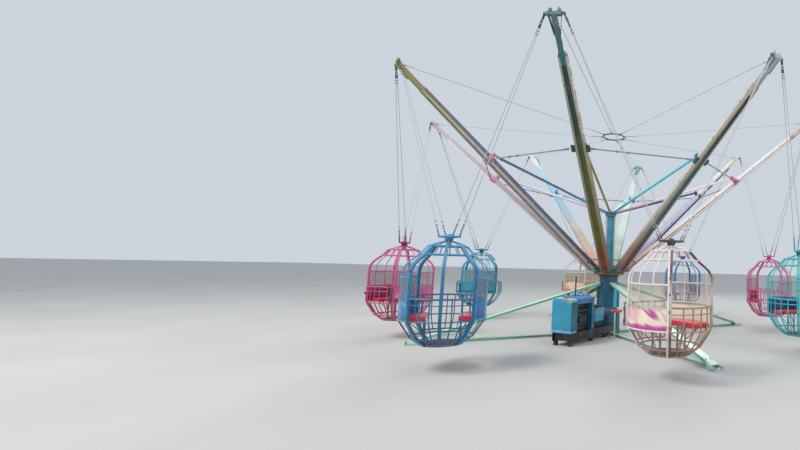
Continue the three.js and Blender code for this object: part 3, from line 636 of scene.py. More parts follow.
def cage_walls(shape):
    """The two curved walls with their rims, thin upright bars and the dome bars above them."""
    above_wall = [(CAGE_R - 0.016, RAIL_Z), (CAGE_R - 0.016, SHOULDER[1]), DOME_RING, TOP_RING]
    for start in (90, 270):
        ends = start + 2.5, start + 87.5
        for turn in WALL_BARS:
            rib(shape, above_wall, start + turn, THIN_BAR, [0.12, 0.04], 0, RIM, True)
            rib(shape, [BELT, LOWER_RING, BOTTOM_RING], start + turn, THIN_BAR, [0.05], 0, BARS, True)
        low, high = BELT_Z + 0.004, GLAZING_TOP - 0.004
        curved_sheet(shape, CAGE_R - 0.001, 0.005, start + 3.4, start + 86.6, low, high, (WALL, INSIDE))
        for z, width in ((GLAZING_TOP, 0.022), (BELT_Z + 0.003, 0.020)):
            hoop(shape, CAGE_R - 0.002, z, flat_section(width, 0.018), *ends, RIM)
        hoop(shape, CAGE_R - 0.020, RAIL_Z, round_section(0.010), *ends, RIM, True)
        for turn in (8, 26, 44, 62, 82):
            at = polar(CAGE_R - 0.001, start + turn, BELT_Z + 0.035)
            bolt(shape, at, polar(1, start + turn, 0), 0.005, METAL)


def cage_basket(shape, middle_post):
    """The open side opposite the gate: two rails, a belt and flat bars, or a post in its middle."""
    bar = flat_section(0.018, 0.016, 0.003)
    ends = 182, 268
    hoop(shape, CAGE_R, RAIL_Z, RAIL_BAR, *ends, BARS, True)
    hoop(shape, CAGE_R, SECOND_RAIL_Z, SECOND_BAR, *ends, BARS, True)
    hoop(shape, CAGE_R, BELT_Z, bar, *ends, BARS)
    for turn in BASKET_BARS:
        if middle_post and turn == 225:
            rib(shape, POST_LINE, turn, flat_section(0.046, 0.028, 0.005), POST_BENDS, 0, POST)
        else:
            line = [(CAGE_R, RAIL_Z), BELT, LOWER_RING, BOTTOM_RING]
            rib(shape, line, turn, bar, [0.06, 0.04], 0, BARS)


def cage_top(shape):
    """Spider bars that rise from the top ring to the stem."""
    z = TOP_RING[1]
    for side in (OUT, ACROSS):
        flat(shape, side * -0.286 + UP * z, side * 0.286 + UP * z, 0.034, 0.018, UP.cross(side), RIM)
    for angle in range(0, 360, 45):
        line = [polar(0.284, angle, z), polar(0.17, angle, z + 0.050), polar(0.045, angle, z + 0.085)]
        sweep(shape, rounded(line, 0.08), round_section(0.0095), polar(1, angle + 90, 0), RIM, True)
    drum(shape, (0, 0, z - 0.018), (0, 0, STEM_TOP - 0.02), 0.042, 20, RIM)
    drum(shape, (0, 0, STEM_TOP - 0.022), (0, 0, STEM_TOP), 0.058, 20, METAL)


def cage_frame(number, place, coats, middle_post):
    shape = Shape(place)
    cage_posts(shape)
    cage_walls(shape)
    # dome bars over the gate side take the paler rim coat and those over the basket side the darker post
    # coat: painted light and painted shade
    for start, coat in ((0, RIM), (180, POST)):
        for turn in WALL_BARS:
            rib(shape, [DOME_RING, TOP_RING], start + turn, THIN_BAR, None, 0, coat, True)
    cage_basket(shape, middle_post)
    for radius, z in (TOP_RING, DOME_RING):
        hoop(shape, radius, z, flat_section(0.024, 0.022, 0.005), paint=RIM)
    for radius, z in (LOWER_RING, BOTTOM_RING):
        hoop(shape, radius, z, flat_section(0.022, 0.020, 0.005), paint=BARS)
    cage_top(shape)
    hinge_foot, hinge_high = HINGE - Vector((0.014, 0.045, -0.802)), HINGE + Vector((0.014, -0.012, 1.038))
    block(shape, hinge_foot, hinge_high, 0.003, POST)
    knuckle = [(0.0115, 0), (0.0175, 0), (0.0175, 0.058), (0.0115, 0.058), (0.0115, 0)]
    for z in (0.802, 0.980):
        lathe(shape, knuckle, HINGE + UP * z, UP, 16, METAL)
    shape.piece(f"cage_{number}_bars", coats, f"cage_{number}", f"cage_{number}_frame")


def cage_gate(number, place, coats):
    shape = Shape(place)
    low, high = 9.2, 80.8
    hoop(shape, CAGE_R, RAIL_Z, RAIL_BAR, low, high, 0, True)
    hoop(shape, CAGE_R, SECOND_RAIL_Z, SECOND_BAR, low, high, 0, True)
    hoop(shape, CAGE_R, BELT_Z, flat_section(0.018, 0.012), low, high)
    hoop(shape, *GATE_FOOT, flat_section(0.020, 0.020), low, high)
    for angle in (low, 23.5, 34.2, 45, 55.8, 66.5, high):
        edge = angle in (low, high)
        section = flat_section(0.020, 0.022, 0.004) if edge else THIN_BAR
        rib(shape, [(CAGE_R, RAIL_Z), BELT, GATE_FOOT], angle, section, [0.06], 0, 0, not edge)
    for z in (0.774, RAIL_Z):
        flat(shape, polar(CAGE_R, high, z), HINGE + UP * z, 0.020, 0.012, UP)
        drum(shape, HINGE + UP * (z - 0.010), HINGE + UP * (z + 0.012), 0.018, 14)
    wire(shape, HINGE + UP * 0.762, HINGE + UP * (RAIL_Z + 0.015), 0.0095, 1, 12)
    latch = polar(CAGE_R + 0.022, low + 3, 0.95)
    half_size = Vector((0.010, 0.030, 0.022))
    block(shape, latch - half_size, latch + half_size, 0.004, 1)
    wire(shape, latch - ACROSS * 0.034, latch + ACROSS * 0.045, 0.006, 1)
    shape.piece(f"cage_{number}_gate_bars", coats, f"gate_{number}", f"cage_{number}_gate")


def floor_plate(shape, low):
    """Round plate with raised bars that cross each other in turn."""
    slab(shape, round_section(0.2935, 40), low, low + 0.012, None, 0.002, 1, 1)
    for row in range(-3, 4):
        for column in range(-3, 4):
            if math.hypot(row, column) < 3.4:
                at = Vector((row * 0.078, column * 0.078, low + 0.0115))
                run = OUT if (row + column) % 2 else ACROSS
                flat(shape, at - run * 0.018, at + run * 0.018, 0.009, 0.004, None, 1, 0.001)


def cage_seats(number, place, leg_coat):
    """Floor plate and two facing benches on flat legs."""
    shape = Shape(place)
    low = BOTTOM_RING[1] + 0.0123
    floor_plate(shape, low)
    arc = [math.radians(-38 + 76 * i / 12) for i in range(13)]
    bench = [(0.227, -0.298), (0.452, -0.354)] + [(0.573 * math.cos(t), 0.573 * math.sin(t)) for t in arc]
    bench += [(0.452, 0.354), (0.227, 0.298)]
    for turn in (135, 315):
        spin = Matrix.Rotation(math.radians(turn), 4, "Z")
        slab(shape, bench, 0.7575, 0.8390, spin, 0.022, 5, 0, True)
        inner = Shape(place @ spin)
        for sign in BOTH:
            y, rail_y = sign * 0.080, sign * 0.20
            flat(inner, (0.256, y, low + 0.010), (0.256, y, 0.760), 0.028, 0.022, ACROSS, 2)
            flat(inner, (0.256, y, low + 0.16), (0.47, sign * 0.17, 0.752), 0.018, 0.010, ACROSS, 2)
            flat(inner, (0.24, rail_y, 0.752), (0.53, rail_y, 0.752), 0.024, 0.012, ACROSS, 2)
        shape.merge(inner)
    coats = [BENCH, FLOOR_METAL, leg_coat]
    shape.piece(f"cage_{number}_benches", coats, f"cage_{number}", f"cage_{number}_seats")


# Hangers: x outwards, y towards the next arm

def eye_and_links(shape, eye, run):
    """The eye on a tip pin with its plates and two links."""
    ring = [(0.0118, -0.010), (0.026, -0.010), (0.028, 0), (0.026, 0.010), (0.0118, 0.010), (0.0118, -0.010)]
    lathe(shape, ring, eye, ACROSS, 24, 1)
    flat(shape, eye + run * 0.020, eye + run * 0.085, 0.040, 0.016, OUT, 1)
    link(shape, eye + run * 0.098, run, run.cross(OUT), 0.070, 0.040, 0.0070, 1)
    link(shape, eye + run * 0.138, run, OUT, 0.070, 0.044, 0.0070, 1)
    flat(shape, eye + run * 0.158, eye + run * 0.222, 0.046, 0.014, OUT, 1)


def hanger_cable(shape, start, end, prong):
    """A cable with its clips, turnbuckle and the prong that stands on the yoke."""
    run = (end - start).normalized()
    wire(shape, start, end, 0.0065)
    for step in (0.05, 0.10):
        clip(shape, start + run * step, run, 0.009, 1)
    turnbuckle(shape, end - run * (prong + 0.14), end - run * (prong + 0.01), 0.015, 1)
    clip(shape, end - run * (prong + 0.20), run, 0.009, 1)
    flat(shape, end - run * prong, end - run * 0.002, 0.026, 0.014, OUT, 2)


def yoke(shape):
    """The rectangle of flat bars over a cage, with its boss, nut and cap."""
    middle = YOKE_Z - 0.015
    for side in BOTH:
        x, reach = side * (YOKE_SIDE - 0.014), YOKE_HALF + 0.016
        flat(shape, (x, -reach, middle), (x, reach, middle), 0.026, 0.029, OUT, 2)
    for y in (-YOKE_HALF, -0.075, 0.075, YOKE_HALF):
        flat(shape, (-YOKE_SIDE, y, middle), (YOKE_SIDE, y, middle), 0.026, 0.027, ACROSS, 2)
    centred(shape, (-0.05, 0.05), 0.10, (middle - 0.020, middle - 0.004), 0.003, 2)
    drum(shape, (0, 0, STEM_TOP + 0.0004), (0, 0, middle - 0.010), 0.064, 24, 2)
    drum(shape, (0, 0, middle - 0.006), (0, 0, middle + 0.014), 0.034, 6, 1)
    cap = [(0.048, 0), (0.048, 0.020), (0.040, 0.036), (0.022, 0.045), (0, 0.045)]
    lathe(shape, cap, (0, 0, middle), UP, 20, 2)


def hanger(number, place, paint):
    shape = Shape(place)
    prong = 0.060 if number in (1, 8) else 0.130
    for sign in BOTH:
        eye = Vector((0, sign * HALF_SPAN, TIP_Z))
        corner = Vector((0, sign * YOKE_HALF, YOKE_Z))
        run = (corner - eye).normalized()
        eye_and_links(shape, eye, run)
        for side in BOTH:
            start = eye + run * 0.215 + OUT * (side * 0.014)
            hanger_cable(shape, start, corner + OUT * (side * 0.063), prong)
    yoke(shape)
    coats = [ROPE, STEEL, paint]
    shape.piece(f"cage_{number}_cables", coats, f"cage_{number}", f"cage_{number}_hanger")


# Turning head: arm frame with x along the arm's radius

HUB_R = 0.379
HUB_LOW = 1.4406
HUB_TOP = 1.500
HUB_BOSS_TOP = 1.560
MAST_FOOT = HUB_BOSS_TOP + 0.0003
MAST_TOP = 2.950
BOOM_FOOT = Vector((0.440, 0, 1.571))
TIP = Vector((4.928, 0, TIP_Z))
BOOM_RUN = (TIP - BOOM_FOOT).normalized()
BOOM_RISE = Vector((-BOOM_RUN.z, 0, BOOM_RUN.x))
BRACKET_RADIUS = 3.128
BRACKET_DROP = 0.035
BOOM_END_RADIUS = 4.460
BOOM_STATIONS = (0.440, BRACKET_RADIUS, BOOM_END_RADIUS)
BOOM_WIDTHS = (0.240, 0.200, 0.150)
BOOM_HEIGHTS = (0.150, 0.125, 0.104)
TIP_TUBE = 0.096
EYE_OFFSET = 0.150
RING_R = 0.270
RING_Z = 4.990
# an outline in x and z, drawn along y
UPRIGHT = Matrix.Rotation(math.pi / 2, 4, "X")
# paints of an arm; the channel coat darkens the side seam and the underside channel as painted shade, partly
# the arm's own paint
SIDES, RAILS, CHANNEL_SHADE, SHOE, FITTINGS, WINGS, ROD, TIP_COAT = range(8)


def on_boom(radius, lift=0.0, across=0.0):
    along = (radius - BOOM_FOOT.x) / BOOM_RUN.x
    return BOOM_FOOT + BOOM_RUN * along + BOOM_RISE * lift + ACROSS * across


def boom_size(radius, sizes):
    for r0, r1, a, b in zip(BOOM_STATIONS, BOOM_STATIONS[1:], sizes, sizes[1:]):
        if radius <= r1:
            return a + (b - a) * (radius - r0) / (r1 - r0)


def boom_half(radius):
    """Half the boom's width and half its height at a radius."""
    return boom_size(radius, BOOM_WIDTHS) / 2, boom_size(radius, BOOM_HEIGHTS) / 2


def plate(shape, radius, start, end, width, thick, paint, edge=0.003):
    """A flat plate at a radius of the boom, from one pair of lift and across to another."""
    flat(shape, on_boom(radius, *start), on_boom(radius, *end), width, thick, BOOM_RUN, paint, edge)


def boom(shape):
    """Tapered box with a channel on its underside and a seam line low on both sides, both in a dark coat that
    is painted shade, partly the arm's own paint.
    """
    e, deep = 0.006, 0.026
    rings = []
    for radius in (0.440, 0.70, 1.2, 1.7, 2.2, 2.7, BRACKET_RADIUS, 3.5, 3.9, 4.2, BOOM_END_RADIUS):
        w, h = boom_half(radius)
        lip, sunk = 0.52 * w, w - 0.004
        top, low = -0.16 * h, -0.42 * h
        side = [(-w, h - e), (-w, top), (-sunk, top), (-sunk, low), (-w, low), (-w, e - h)]
        under = [(e - w, -h), (-lip - e, -h), (-lip, e - h), (-lip, deep - h)]
        half = [(e - w, h)] + side + under
        section = half + [(-u, v) for u, v in reversed(half)]
        rings.append([on_boom(radius, v, u) for u, v in section])
    down = [SIDES] * 3 + [CHANNEL_SHADE] * 2 + [RAILS] * 4 + [CHANNEL_SHADE]
    loft(shape, rings, down + [CHANNEL_SHADE] + down[::-1] + [SIDES])
    for radius in (0.95, 1.55, 2.15, 2.72, 3.60, 4.08):
        w, h = boom_half(radius)
        plate(shape, radius, (0.018 - h, -w * 0.46), (0.018 - h, w * 0.46), 0.040, 0.008, CHANNEL_SHADE)
        for sign in BOTH:
            bolt(shape, on_boom(radius, -h, sign * w * 0.74), -BOOM_RISE, 0.006, FITTINGS)
    for radius in (0.62, 1.30, 2.00, 2.65, 3.55, 4.20):
        for sign in BOTH:
            at = on_boom(radius, 0.02, sign * boom_half(radius)[0])
            bolt(shape, at, ACROSS * sign, 0.007, FITTINGS)


def shoe(shape):
    """Cast shoe on the hub's flange with its cheeks, straps and bolts."""
    low = HUB_TOP + 0.0003
    outline = [(0.247, low), (0.372, low), (0.528, 1.545), (0.478, 1.628), (0.370, 1.638), (0.247, 1.578)]
    slab(shape, outline, -0.073, 0.073, UPRIGHT, 0.008, 2, SHOE)
    for sign in BOTH:
        block(shape, (0.262, sign * 0.070 - 0.008, low), (0.366, sign * 0.070 + 0.008, 1.530), 0.003, SHOE)
        for x, z in ((0.300, 1.560), (0.345, 1.590), (0.420, 1.580)):
            bolt(shape, (x, sign * 0.0735, z), ACROSS * sign, 0.010, FITTINGS)
        bolt(shape, (0.285, sign * 0.052, 1.577), BOOM_RISE, 0.009, FITTINGS)
    for radius in (0.475, 0.66):
        w, h = boom_half(radius)
        for y in (-w - 0.002, w + 0.002):
            plate(shape, radius, (-h, y), (h, y), 0.050, 0.008, SHOE)
        plate(shape, radius, (h + 0.002, -w), (h + 0.002, w), 0.050, 0.008, SHOE)


def bracket(shape):
    """Wing plates across the boom, side plates and the strut's lug."""
    w, h = boom_half(BRACKET_RADIUS)
    for sign in BOTH:
        wing = [(-BRACKET_DROP, sign * across) for across in (w - 0.01, 0.179)]
        cheek = [(lift, sign * (w + 0.004)) for lift in (-BRACKET_DROP, h - 0.004)]
        lug = [(lift, sign * 0.022) for lift in (h - 0.02, h + 0.118)]
        plate(shape, BRACKET_RADIUS, *wing, 0.148, 0.034, WINGS, 0.006)
        plate(shape, BRACKET_RADIUS, *cheek, 0.120, 0.008, WINGS)
        for along in (-0.045, 0.045):
            at = on_boom(BRACKET_RADIUS, 0.017 - BRACKET_DROP, sign * 0.150) + BOOM_RUN * along
            bolt(shape, at, BOOM_RISE, 0.010, FITTINGS)
            bolt(shape, at - BOOM_RISE * 0.034, -BOOM_RISE, 0.010, FITTINGS)
        plate(shape, BRACKET_RADIUS, *lug, 0.086, 0.014, WINGS, 0.004)
    pin = on_boom(BRACKET_RADIUS, h + 0.082)
    drum(shape, pin - ACROSS * 0.036, pin + ACROSS * 0.036, 0.013, 12, FITTINGS)
    for sign in BOTH:
        bolt(shape, pin + ACROSS * (sign * 0.029), ACROSS * sign, 0.010, FITTINGS)


def tie_rod(shape):
    """Rod with a turnbuckle from this bracket to just short of the next one."""
    near = on_boom(BRACKET_RADIUS, -BRACKET_DROP, 0.166)
    far = Matrix.Rotation(ARM_STEP, 4, "Z") @ on_boom(BRACKET_RADIUS, -BRACKET_DROP, -0.180)
    run = (far - near).normalized()
    length = (far - near).length
    buckle = length * 0.24
    end = near + run * (length - 0.051)
    wire(shape, near, near + run * (buckle + 0.03), 0.0135, ROD, 12)
    wire(shape, near + run * (buckle + 0.21), end, 0.0135, ROD, 12)
    turnbuckle(shape, near + run * buckle, near + run * (buckle + 0.260), 0.030, ROD)
    for at in (near + run * 0.015, end - run * 0.075):
        stub(shape, at, run, 0.060, 0.022, 12, ROD)
    stub(shape, near + run * 0.08, run, 0.02, 0.019, 6, FITTINGS)
    stub(shape, end - run * 0.115, run, 0.023, 0.019, 6, FITTINGS)


def arm_tip(shape):
    """Square tip tube, cross bar, bosses and the two swing pins."""
    collar = [on_boom(BOOM_END_RADIUS + shift) for shift in (-0.02, 0.03)]
    flat(shape, on_boom(BOOM_END_RADIUS - 0.12), on_boom(TIP.x), TIP_TUBE, TIP_TUBE, ACROSS, TIP_COAT, 0.008)
    flat(shape, *collar, 0.124, 0.108, ACROSS, TIP_COAT, 0.006)
    flat(shape, TIP - ACROSS * 0.118, TIP + ACROSS * 0.118, 0.060, 0.060, OUT, TIP_COAT, 0.006)
    boss = [(0, 0), (0.036, 0), (0.036, 0.010), (0.031, 0.014), (0.031, 0.046), (0.027, 0.052), (0, 0.052)]
    washer = [(0.0098, 0.0125), (0.016, 0.0125), (0.016, 0.0165), (0.0098, 0.0165), (0.0098, 0.0125)]
    for sign in BOTH:
        foot = TIP + ACROSS * (sign * 0.068) + UP * 0.028
        lathe(shape, boss, foot, UP, 20, TIP_COAT)
        bolt(shape, foot + UP * 0.051, UP, 0.012, FITTINGS)
        run = Vector((-math.sin(ARM_STEP / 2), sign * math.cos(ARM_STEP / 2), 0))
        pin = TIP + ACROSS * (sign * EYE_OFFSET)
        drum(shape, pin - run * 0.045, pin + run * 0.021, 0.0098, 16, FITTINGS, 0.002)
        flat(shape, pin - run * 0.052, pin - run * 0.020, 0.046, 0.040, UP, FITTINGS, 0.006)
        lathe(shape, washer, pin, run, 16, FITTINGS, False)
        gusset_top = TIP + ACROSS * (sign * 0.100) + OUT * -0.024
        flat(shape, on_boom(4.70, -0.045, sign * 0.046), gusset_top, 0.010, 0.050, None, TIP_COAT)


def arm(number, coats):
    shape = Shape(turned_place(45 * (number - 1)))
    for build in (boom, shoe, bracket, tie_rod, arm_tip):
        build(shape)
    shape.piece(f"arm_{number}_dressed", coats, "rotor", f"arm_{number}")


def strut_star(coats, hub_paint):
    """Cap on the mast with a tube to the lug of each arm, one paint a tube."""
    shape = Shape()
    low = MAST_TOP + 0.0003
    cap_paint, bolt_paint = 8, 9
    outline = [(0, 0), (0.116, 0), (0.120, 0.004), (0.120, 0.050), (0.108, 0.066), (0.050, 0.070), (0, 0.070)]
    lathe(shape, outline, (0, 0, low), UP, 32, cap_paint)
    drum(shape, (0, 0, low + 0.06), (0, 0, low + 0.105), 0.026, 6, bolt_paint)
    lug = on_boom(BRACKET_RADIUS, boom_half(BRACKET_RADIUS)[1] + 0.075)
    start = Vector((0.060, 0, low + 0.035))
    run = (lug - start).normalized()
    end = start + run * ((lug - start).length - 0.0615)
    down = run.cross(ACROSS)
    for k in range(8):
        part = Shape(turned_place(45 * k))
        wire(part, start + run * 0.05, end - run * 0.05, 0.0290, k, 16)
        stub(part, start + run * 0.045, run, 0.040, 0.036, 16, k)
        stub(part, end - run * 0.15, run, 0.05, 0.034, 16, k)
        flat(part, end - run * 0.11, end, 0.020, 0.056, ACROSS, k, 0.006)
        bolt(part, start + run * 0.065 - down * 0.034, -down, 0.009, bolt_paint)
        shape.merge(part)
    shape.piece("strut_star_dressed", coats + [hub_paint, STEEL], "rotor", "strut_star")


def stay_star(ring_paint):
    """Floating ring over the mast with a taut stay to each arm tip."""
    shape = Shape()
    hoop(shape, RING_R, RING_Z, round_section(0.0170, 12), paint=1, smooth=True)
    start = Vector((RING_R, 0, RING_Z))
    seat = on_boom(TIP.x - 0.040, TIP_TUBE / 2 + 0.0005)
    end = seat + UP * 0.0072
    run = (end - start).normalized()
    for k in range(8):
        part = Shape(turned_place(45 * k))
        wire(part, start + run * 0.05, end, 0.0070)
        link(part, start + run * 0.030, run, UP, 0.080, 0.050, 0.0065, 2)
        turnbuckle(part, start + run * 0.08, start + run * 0.24, 0.014, 2)
        for step in (0.30, 0.35):
            clip(part, start + run * step, run, 0.008, 2)
            clip(part, end - run * (step - 0.16), run, 0.008, 2)
        wire(part, end - run * 0.10, end, 0.0080, 2)
        drum(part, seat - UP * 0.006, seat + UP * 0.020, 0.015, 12, 2)
        shape.merge(part)
    shape.piece("stay_star_dressed", [ROPE, ring_paint, STEEL], "rotor", "stay_star")


def mast(paint):
    """Tube with bolted flanges and four straight rods with turnbuckles beside it."""
    shape = Shape()
    foot, cap = MAST_FOOT, MAST_TOP - 0.030
    outline = [(0, foot), (0.143, foot), (0.143, foot + 0.020), (0.139, foot + 0.024), (0.092, foot + 0.024),
               (0.088, foot + 0.034), (0.088, cap - 0.015), (0.094, cap), (0.140, cap), (0.144, cap + 0.004),
               (0.144, MAST_TOP), (0, MAST_TOP)]
    lathe(shape, outline, sides=40)
    for run in around(8, 0.5, 0.2):
        bolt(shape, run * 0.117 + UP * (foot + 0.023), UP, 0.010, 1)
    for run in around(4, 0.5):
        at = run * 0.127
        wire(shape, at + UP * (foot + 0.01), at + UP * 2.935, 0.0075, 1)
        turnbuckle(shape, at + UP * 2.05, at + UP * 2.25, 0.016, 1)
        for z in (foot + 0.055, 2.86):
            stub(shape, at + UP * z, UP, 0.030, 0.013, 6, 1)
    shape.piece("mast_dressed", [paint, STEEL], "rotor", "mast")


def hub(paint, rim_paint):
    """Round flange with rivets on its rim, two rings of bolts and a boss for the mast."""
    shape = Shape()
    edge = 0.007
    rim = [(0, HUB_LOW), (HUB_R - edge, HUB_LOW), (HUB_R, HUB_LOW + edge), (HUB_R, HUB_TOP - edge),
           (HUB_R - edge, HUB_TOP)]
    top = [rim[-1], (0.150, HUB_TOP), (0.150, HUB_BOSS_TOP - 0.006), (0.144, HUB_BOSS_TOP), (0, HUB_BOSS_TOP)]
    lathe(shape, rim, sides=64, paint=1)
    lathe(shape, top, sides=64)
    for run in around(24):
        stub(shape, run * 0.377 + UP * (HUB_LOW + 0.03), run, 0.009, 0.010, 8, 2, 0.002)
    for run in around(8, 0.5):
        for radius in (0.205, 0.345):
            bolt(shape, run * radius + UP * HUB_TOP, UP, 0.012, 2)
    shape.piece("hub_dressed", [paint, rim_paint, STEEL], "rotor", "hub")


# Base: column and legs

DRUM_R = 0.3085
COLUMN_R = 0.229
COLUMN_FOOT = 0.630
COLUMN_TOP = 1.395
COLLAR_TOP = 1.440
RIB_AZIMUTHS = (54, 99, 234, 279)
LEG_AZIMUTHS = (36, 126, 216, 306)
LEG_REACH = 4.230
LEG_TOP = Vector((0.200, 0, 1.240))
LEG_FOOT = Vector((LEG_REACH, 0, 0.055))
# paints of the column, whose ribs' coats follow, and of a leg
SHELL, COLLAR, COLUMN_BOLTS, FIRST_RIB = range(4)
PALE, MINT, SHADE, LEG_BOLTS, BEAM = range(5)


def column_shell(shape):
    """Drum foot, column and collar with the bands round them."""
    foot = [(0, 0), (0.306, 0), (DRUM_R, 0.004), (DRUM_R, 0.552), (0.300, 0.564), (0.236, 0.612),
            (COLUMN_R, COLUMN_FOOT)]
    upper = [(COLUMN_R, COLUMN_FOOT), (COLUMN_R, COLUMN_TOP)]
    collar = [(COLUMN_R, COLUMN_TOP), (0.256, COLUMN_TOP), (0.2605, COLUMN_TOP + 0.004),
              (0.2605, COLLAR_TOP - 0.004), (0.256, COLLAR_TOP), (0, COLLAR_TOP)]
    for outline, coat in ((foot, SHELL), (upper, SHELL), (collar, COLLAR)):
        lathe(shape, outline, sides=64, paint=coat)
    for z in (0.075, 0.300, 0.505):
        hoop(shape, DRUM_R, z, flat_section(0.026, 0.008), sides=64)
    for z in (0.680, 1.250, 1.330):
        hoop(shape, COLUMN_R, z, flat_section(0.030, 0.010), sides=64)


def column_hatch(shape):
    """A bolted hatch with a knob on the drum."""
    centred(shape, (0.290, 0.3145), 0.095, (0.150, 0.430), 0.008)
    for y in (-0.08, 0.08):
        for z in (0.165, 0.415):
            bolt(shape, (0.3140, y, z), OUT, 0.007, COLUMN_BOLTS)
    stub(shape, (0.312, 0.060, 0.29), OUT, 0.014, 0.016, 16, COLUMN_BOLTS)


def column(paint, collar_paint, rib_paints):
    shape = Shape()
    column_shell(shape)
    for coat, azimuth in enumerate(RIB_AZIMUTHS, FIRST_RIB):
        part = Shape(turned_place(azimuth))
        centred(part, (0.205, 0.284), 0.029, (0.641, 1.159), 0.006, coat)
        centred(part, (0.270, 0.2846), 0.010, (0.700, 1.100), 0.003, coat)
        for z in (0.665, 0.78, 1.03, 1.135):
            bolt(part, (0.2845, 0.019, z), OUT, 0.007, COLUMN_BOLTS)
        shape.merge(part)
    for run in around(16):
        bolt(shape, run * 0.247 + UP * (COLUMN_TOP + 0.001), -UP, 0.009, COLUMN_BOLTS)
    hatch = Shape(turned_place(0))
    column_hatch(hatch)
    shape.merge(hatch)
    coats = [paint, collar_paint, STEEL] + rib_paints
    shape.piece("column_dressed", coats, "base", "column")


def brace(shape):
    """The sloping channel of a leg, open on its underside, with its end straps."""
    run = (LEG_FOOT - LEG_TOP).normalized()
    rise = Vector((-run.z, 0, run.x))
    half, deep, wall, e = 0.080, 0.025, 0.014, 0.004
    inner, floor = half - wall, deep - wall
    outer = [(half, deep - e), (half - e, deep), (e - half, deep), (-half, deep - e), (-half, -deep),
             (-inner, -deep), (-inner, floor), (inner, floor), (inner, -deep), (half, -deep)]
    rings = [[at + ACROSS * u + rise * v for u, v in outer] for at in (LEG_TOP + run * 0.045, LEG_FOOT)]
    # near-white top faces and top straps are painted light; the SHADE coat inside the channel is painted
    # shade
    loft(shape, rings, [PALE] * 3 + [MINT] * 2 + [SHADE] * 3 + [MINT] * 2)

    def strap(at, reach, lift, width, thick, paint):
        ends = [at + run * along + rise * lift for along in (-reach, reach)]
        flat(shape, *ends, width, thick, ACROSS, paint)

    for at in (LEG_TOP + run * 0.20, LEG_FOOT - run * 0.16):
        strap(at, 0.14, -0.010, 0.130, 0.028, MINT)
    for share in (0.04, 0.955):
        at = LEG_TOP + (LEG_FOOT - LEG_TOP) * share
        strap(at, 0.10, 0.022, 0.150, 0.010, PALE)
        for sign in BOTH:
            bolt(shape, at + rise * 0.027 + ACROSS * (sign * 0.05), rise, 0.009, LEG_BOLTS)
    for share in (0.22, 0.40, 0.58, 0.76):
        strap(LEG_TOP + (LEG_FOOT - LEG_TOP) * share, 0.004, -0.006, 0.132, 0.034, SHADE)


def ground_beam(shape):
    """The I-section on the ground between the column's drum and the foot plate."""
    start, height = 0.311, 0.0290
    right = [(-0.0495, -0.016), (-0.0495, -0.0245), (0.0495, -0.0245), (0.0495, -0.016), (0.010, -0.012)]
    left = [(-0.010, 0.012), (-0.010, -0.012)]
    section = [(0.0495, 0.0245), (-0.0495, 0.0245), (-0.0495, 0.016)] + left + right
    section += [(0.010, 0.012), (0.0495, 0.016)]
    ends = [Vector((x, 0, height)) for x in (start, LEG_REACH - 0.04)]
    loft(shape, [[at + ACROSS * u + UP * v for u, v in section] for at in ends], BEAM)
    centred(shape, (start, 0.328), 0.075, (0.006, 0.120), 0.004, BEAM)
    for x in (1.2, 2.2, 3.2):
        for y in (-0.029, 0.029):
            flat(shape, (x, y, 0.014), (x, y, 0.044), 0.008, 0.036, OUT, BEAM)


def leg_foot(shape):
    """Foot plate with side gussets, bolts and studs."""
    x, top = LEG_REACH, 0.029
    centred(shape, (x - 0.129, x + 0.129), 0.114, (0.0, top), 0.004, BEAM)
    gusset = [(x - 0.12, top), (x + 0.10, top), (x + 0.02, 0.075), (x - 0.12, 0.110)]
    for sign in BOTH:
        slab(shape, gusset, sign * 0.085 - 0.004, sign * 0.085 + 0.004, UPRIGHT, 0.002, 1)
        for along in (-0.095, 0.100):
            bolt(shape, (x + along, sign * 0.100, top), UP, 0.009, LEG_BOLTS)
        stud = Vector((x + 0.105, sign * 0.055, 0.028))
        bolt(shape, stud, UP, 0.012, LEG_BOLTS)
        stub(shape, stud, UP, 0.034, 0.007, 8, LEG_BOLTS)


def leg(number, azimuth, coats):
    shape = Shape(turned_place(azimuth))
    for build in (brace, ground_beam, leg_foot):
        build(shape)
    shape.piece(f"leg_{number}_dressed", coats, "base", f"leg_{number}")


# Engine: x runs outwards from the column, so the radiator's housing faces +x
# a fitting's coat is a whole number, its place in the list of coats that its piece is given

ENGINE_LOW = 0.2603
ENGINE_HALF = 0.215
ENGINE_SHIFT = 0.090
HOUSING_BACK = 1.850
HOUSING_FRONT = 2.110
HOUSING_TOP = 0.965
HOUSING_HALF = 0.235
HOOD_LOW = 0.840
HOOD_TOP = 1.000
HOOD_BACK = 1.260
HOOD_FRONT = HOUSING_BACK - 0.0006
HOOD_HALF = 0.204
SHAFT_Z = 0.600
OUTPUT_Z = 0.500
# an outline in y and z, drawn along x
ALONG = Matrix.Rotation(math.pi / 2, 4, "Z") @ Matrix.Rotation(math.pi / 2, 4, "X")


def hose(shape, points, bend, radius, side, steps=4, sides=12, paint=2):
    sweep(shape, rounded(points, bend, steps), round_section(radius, sides), side, paint, True)


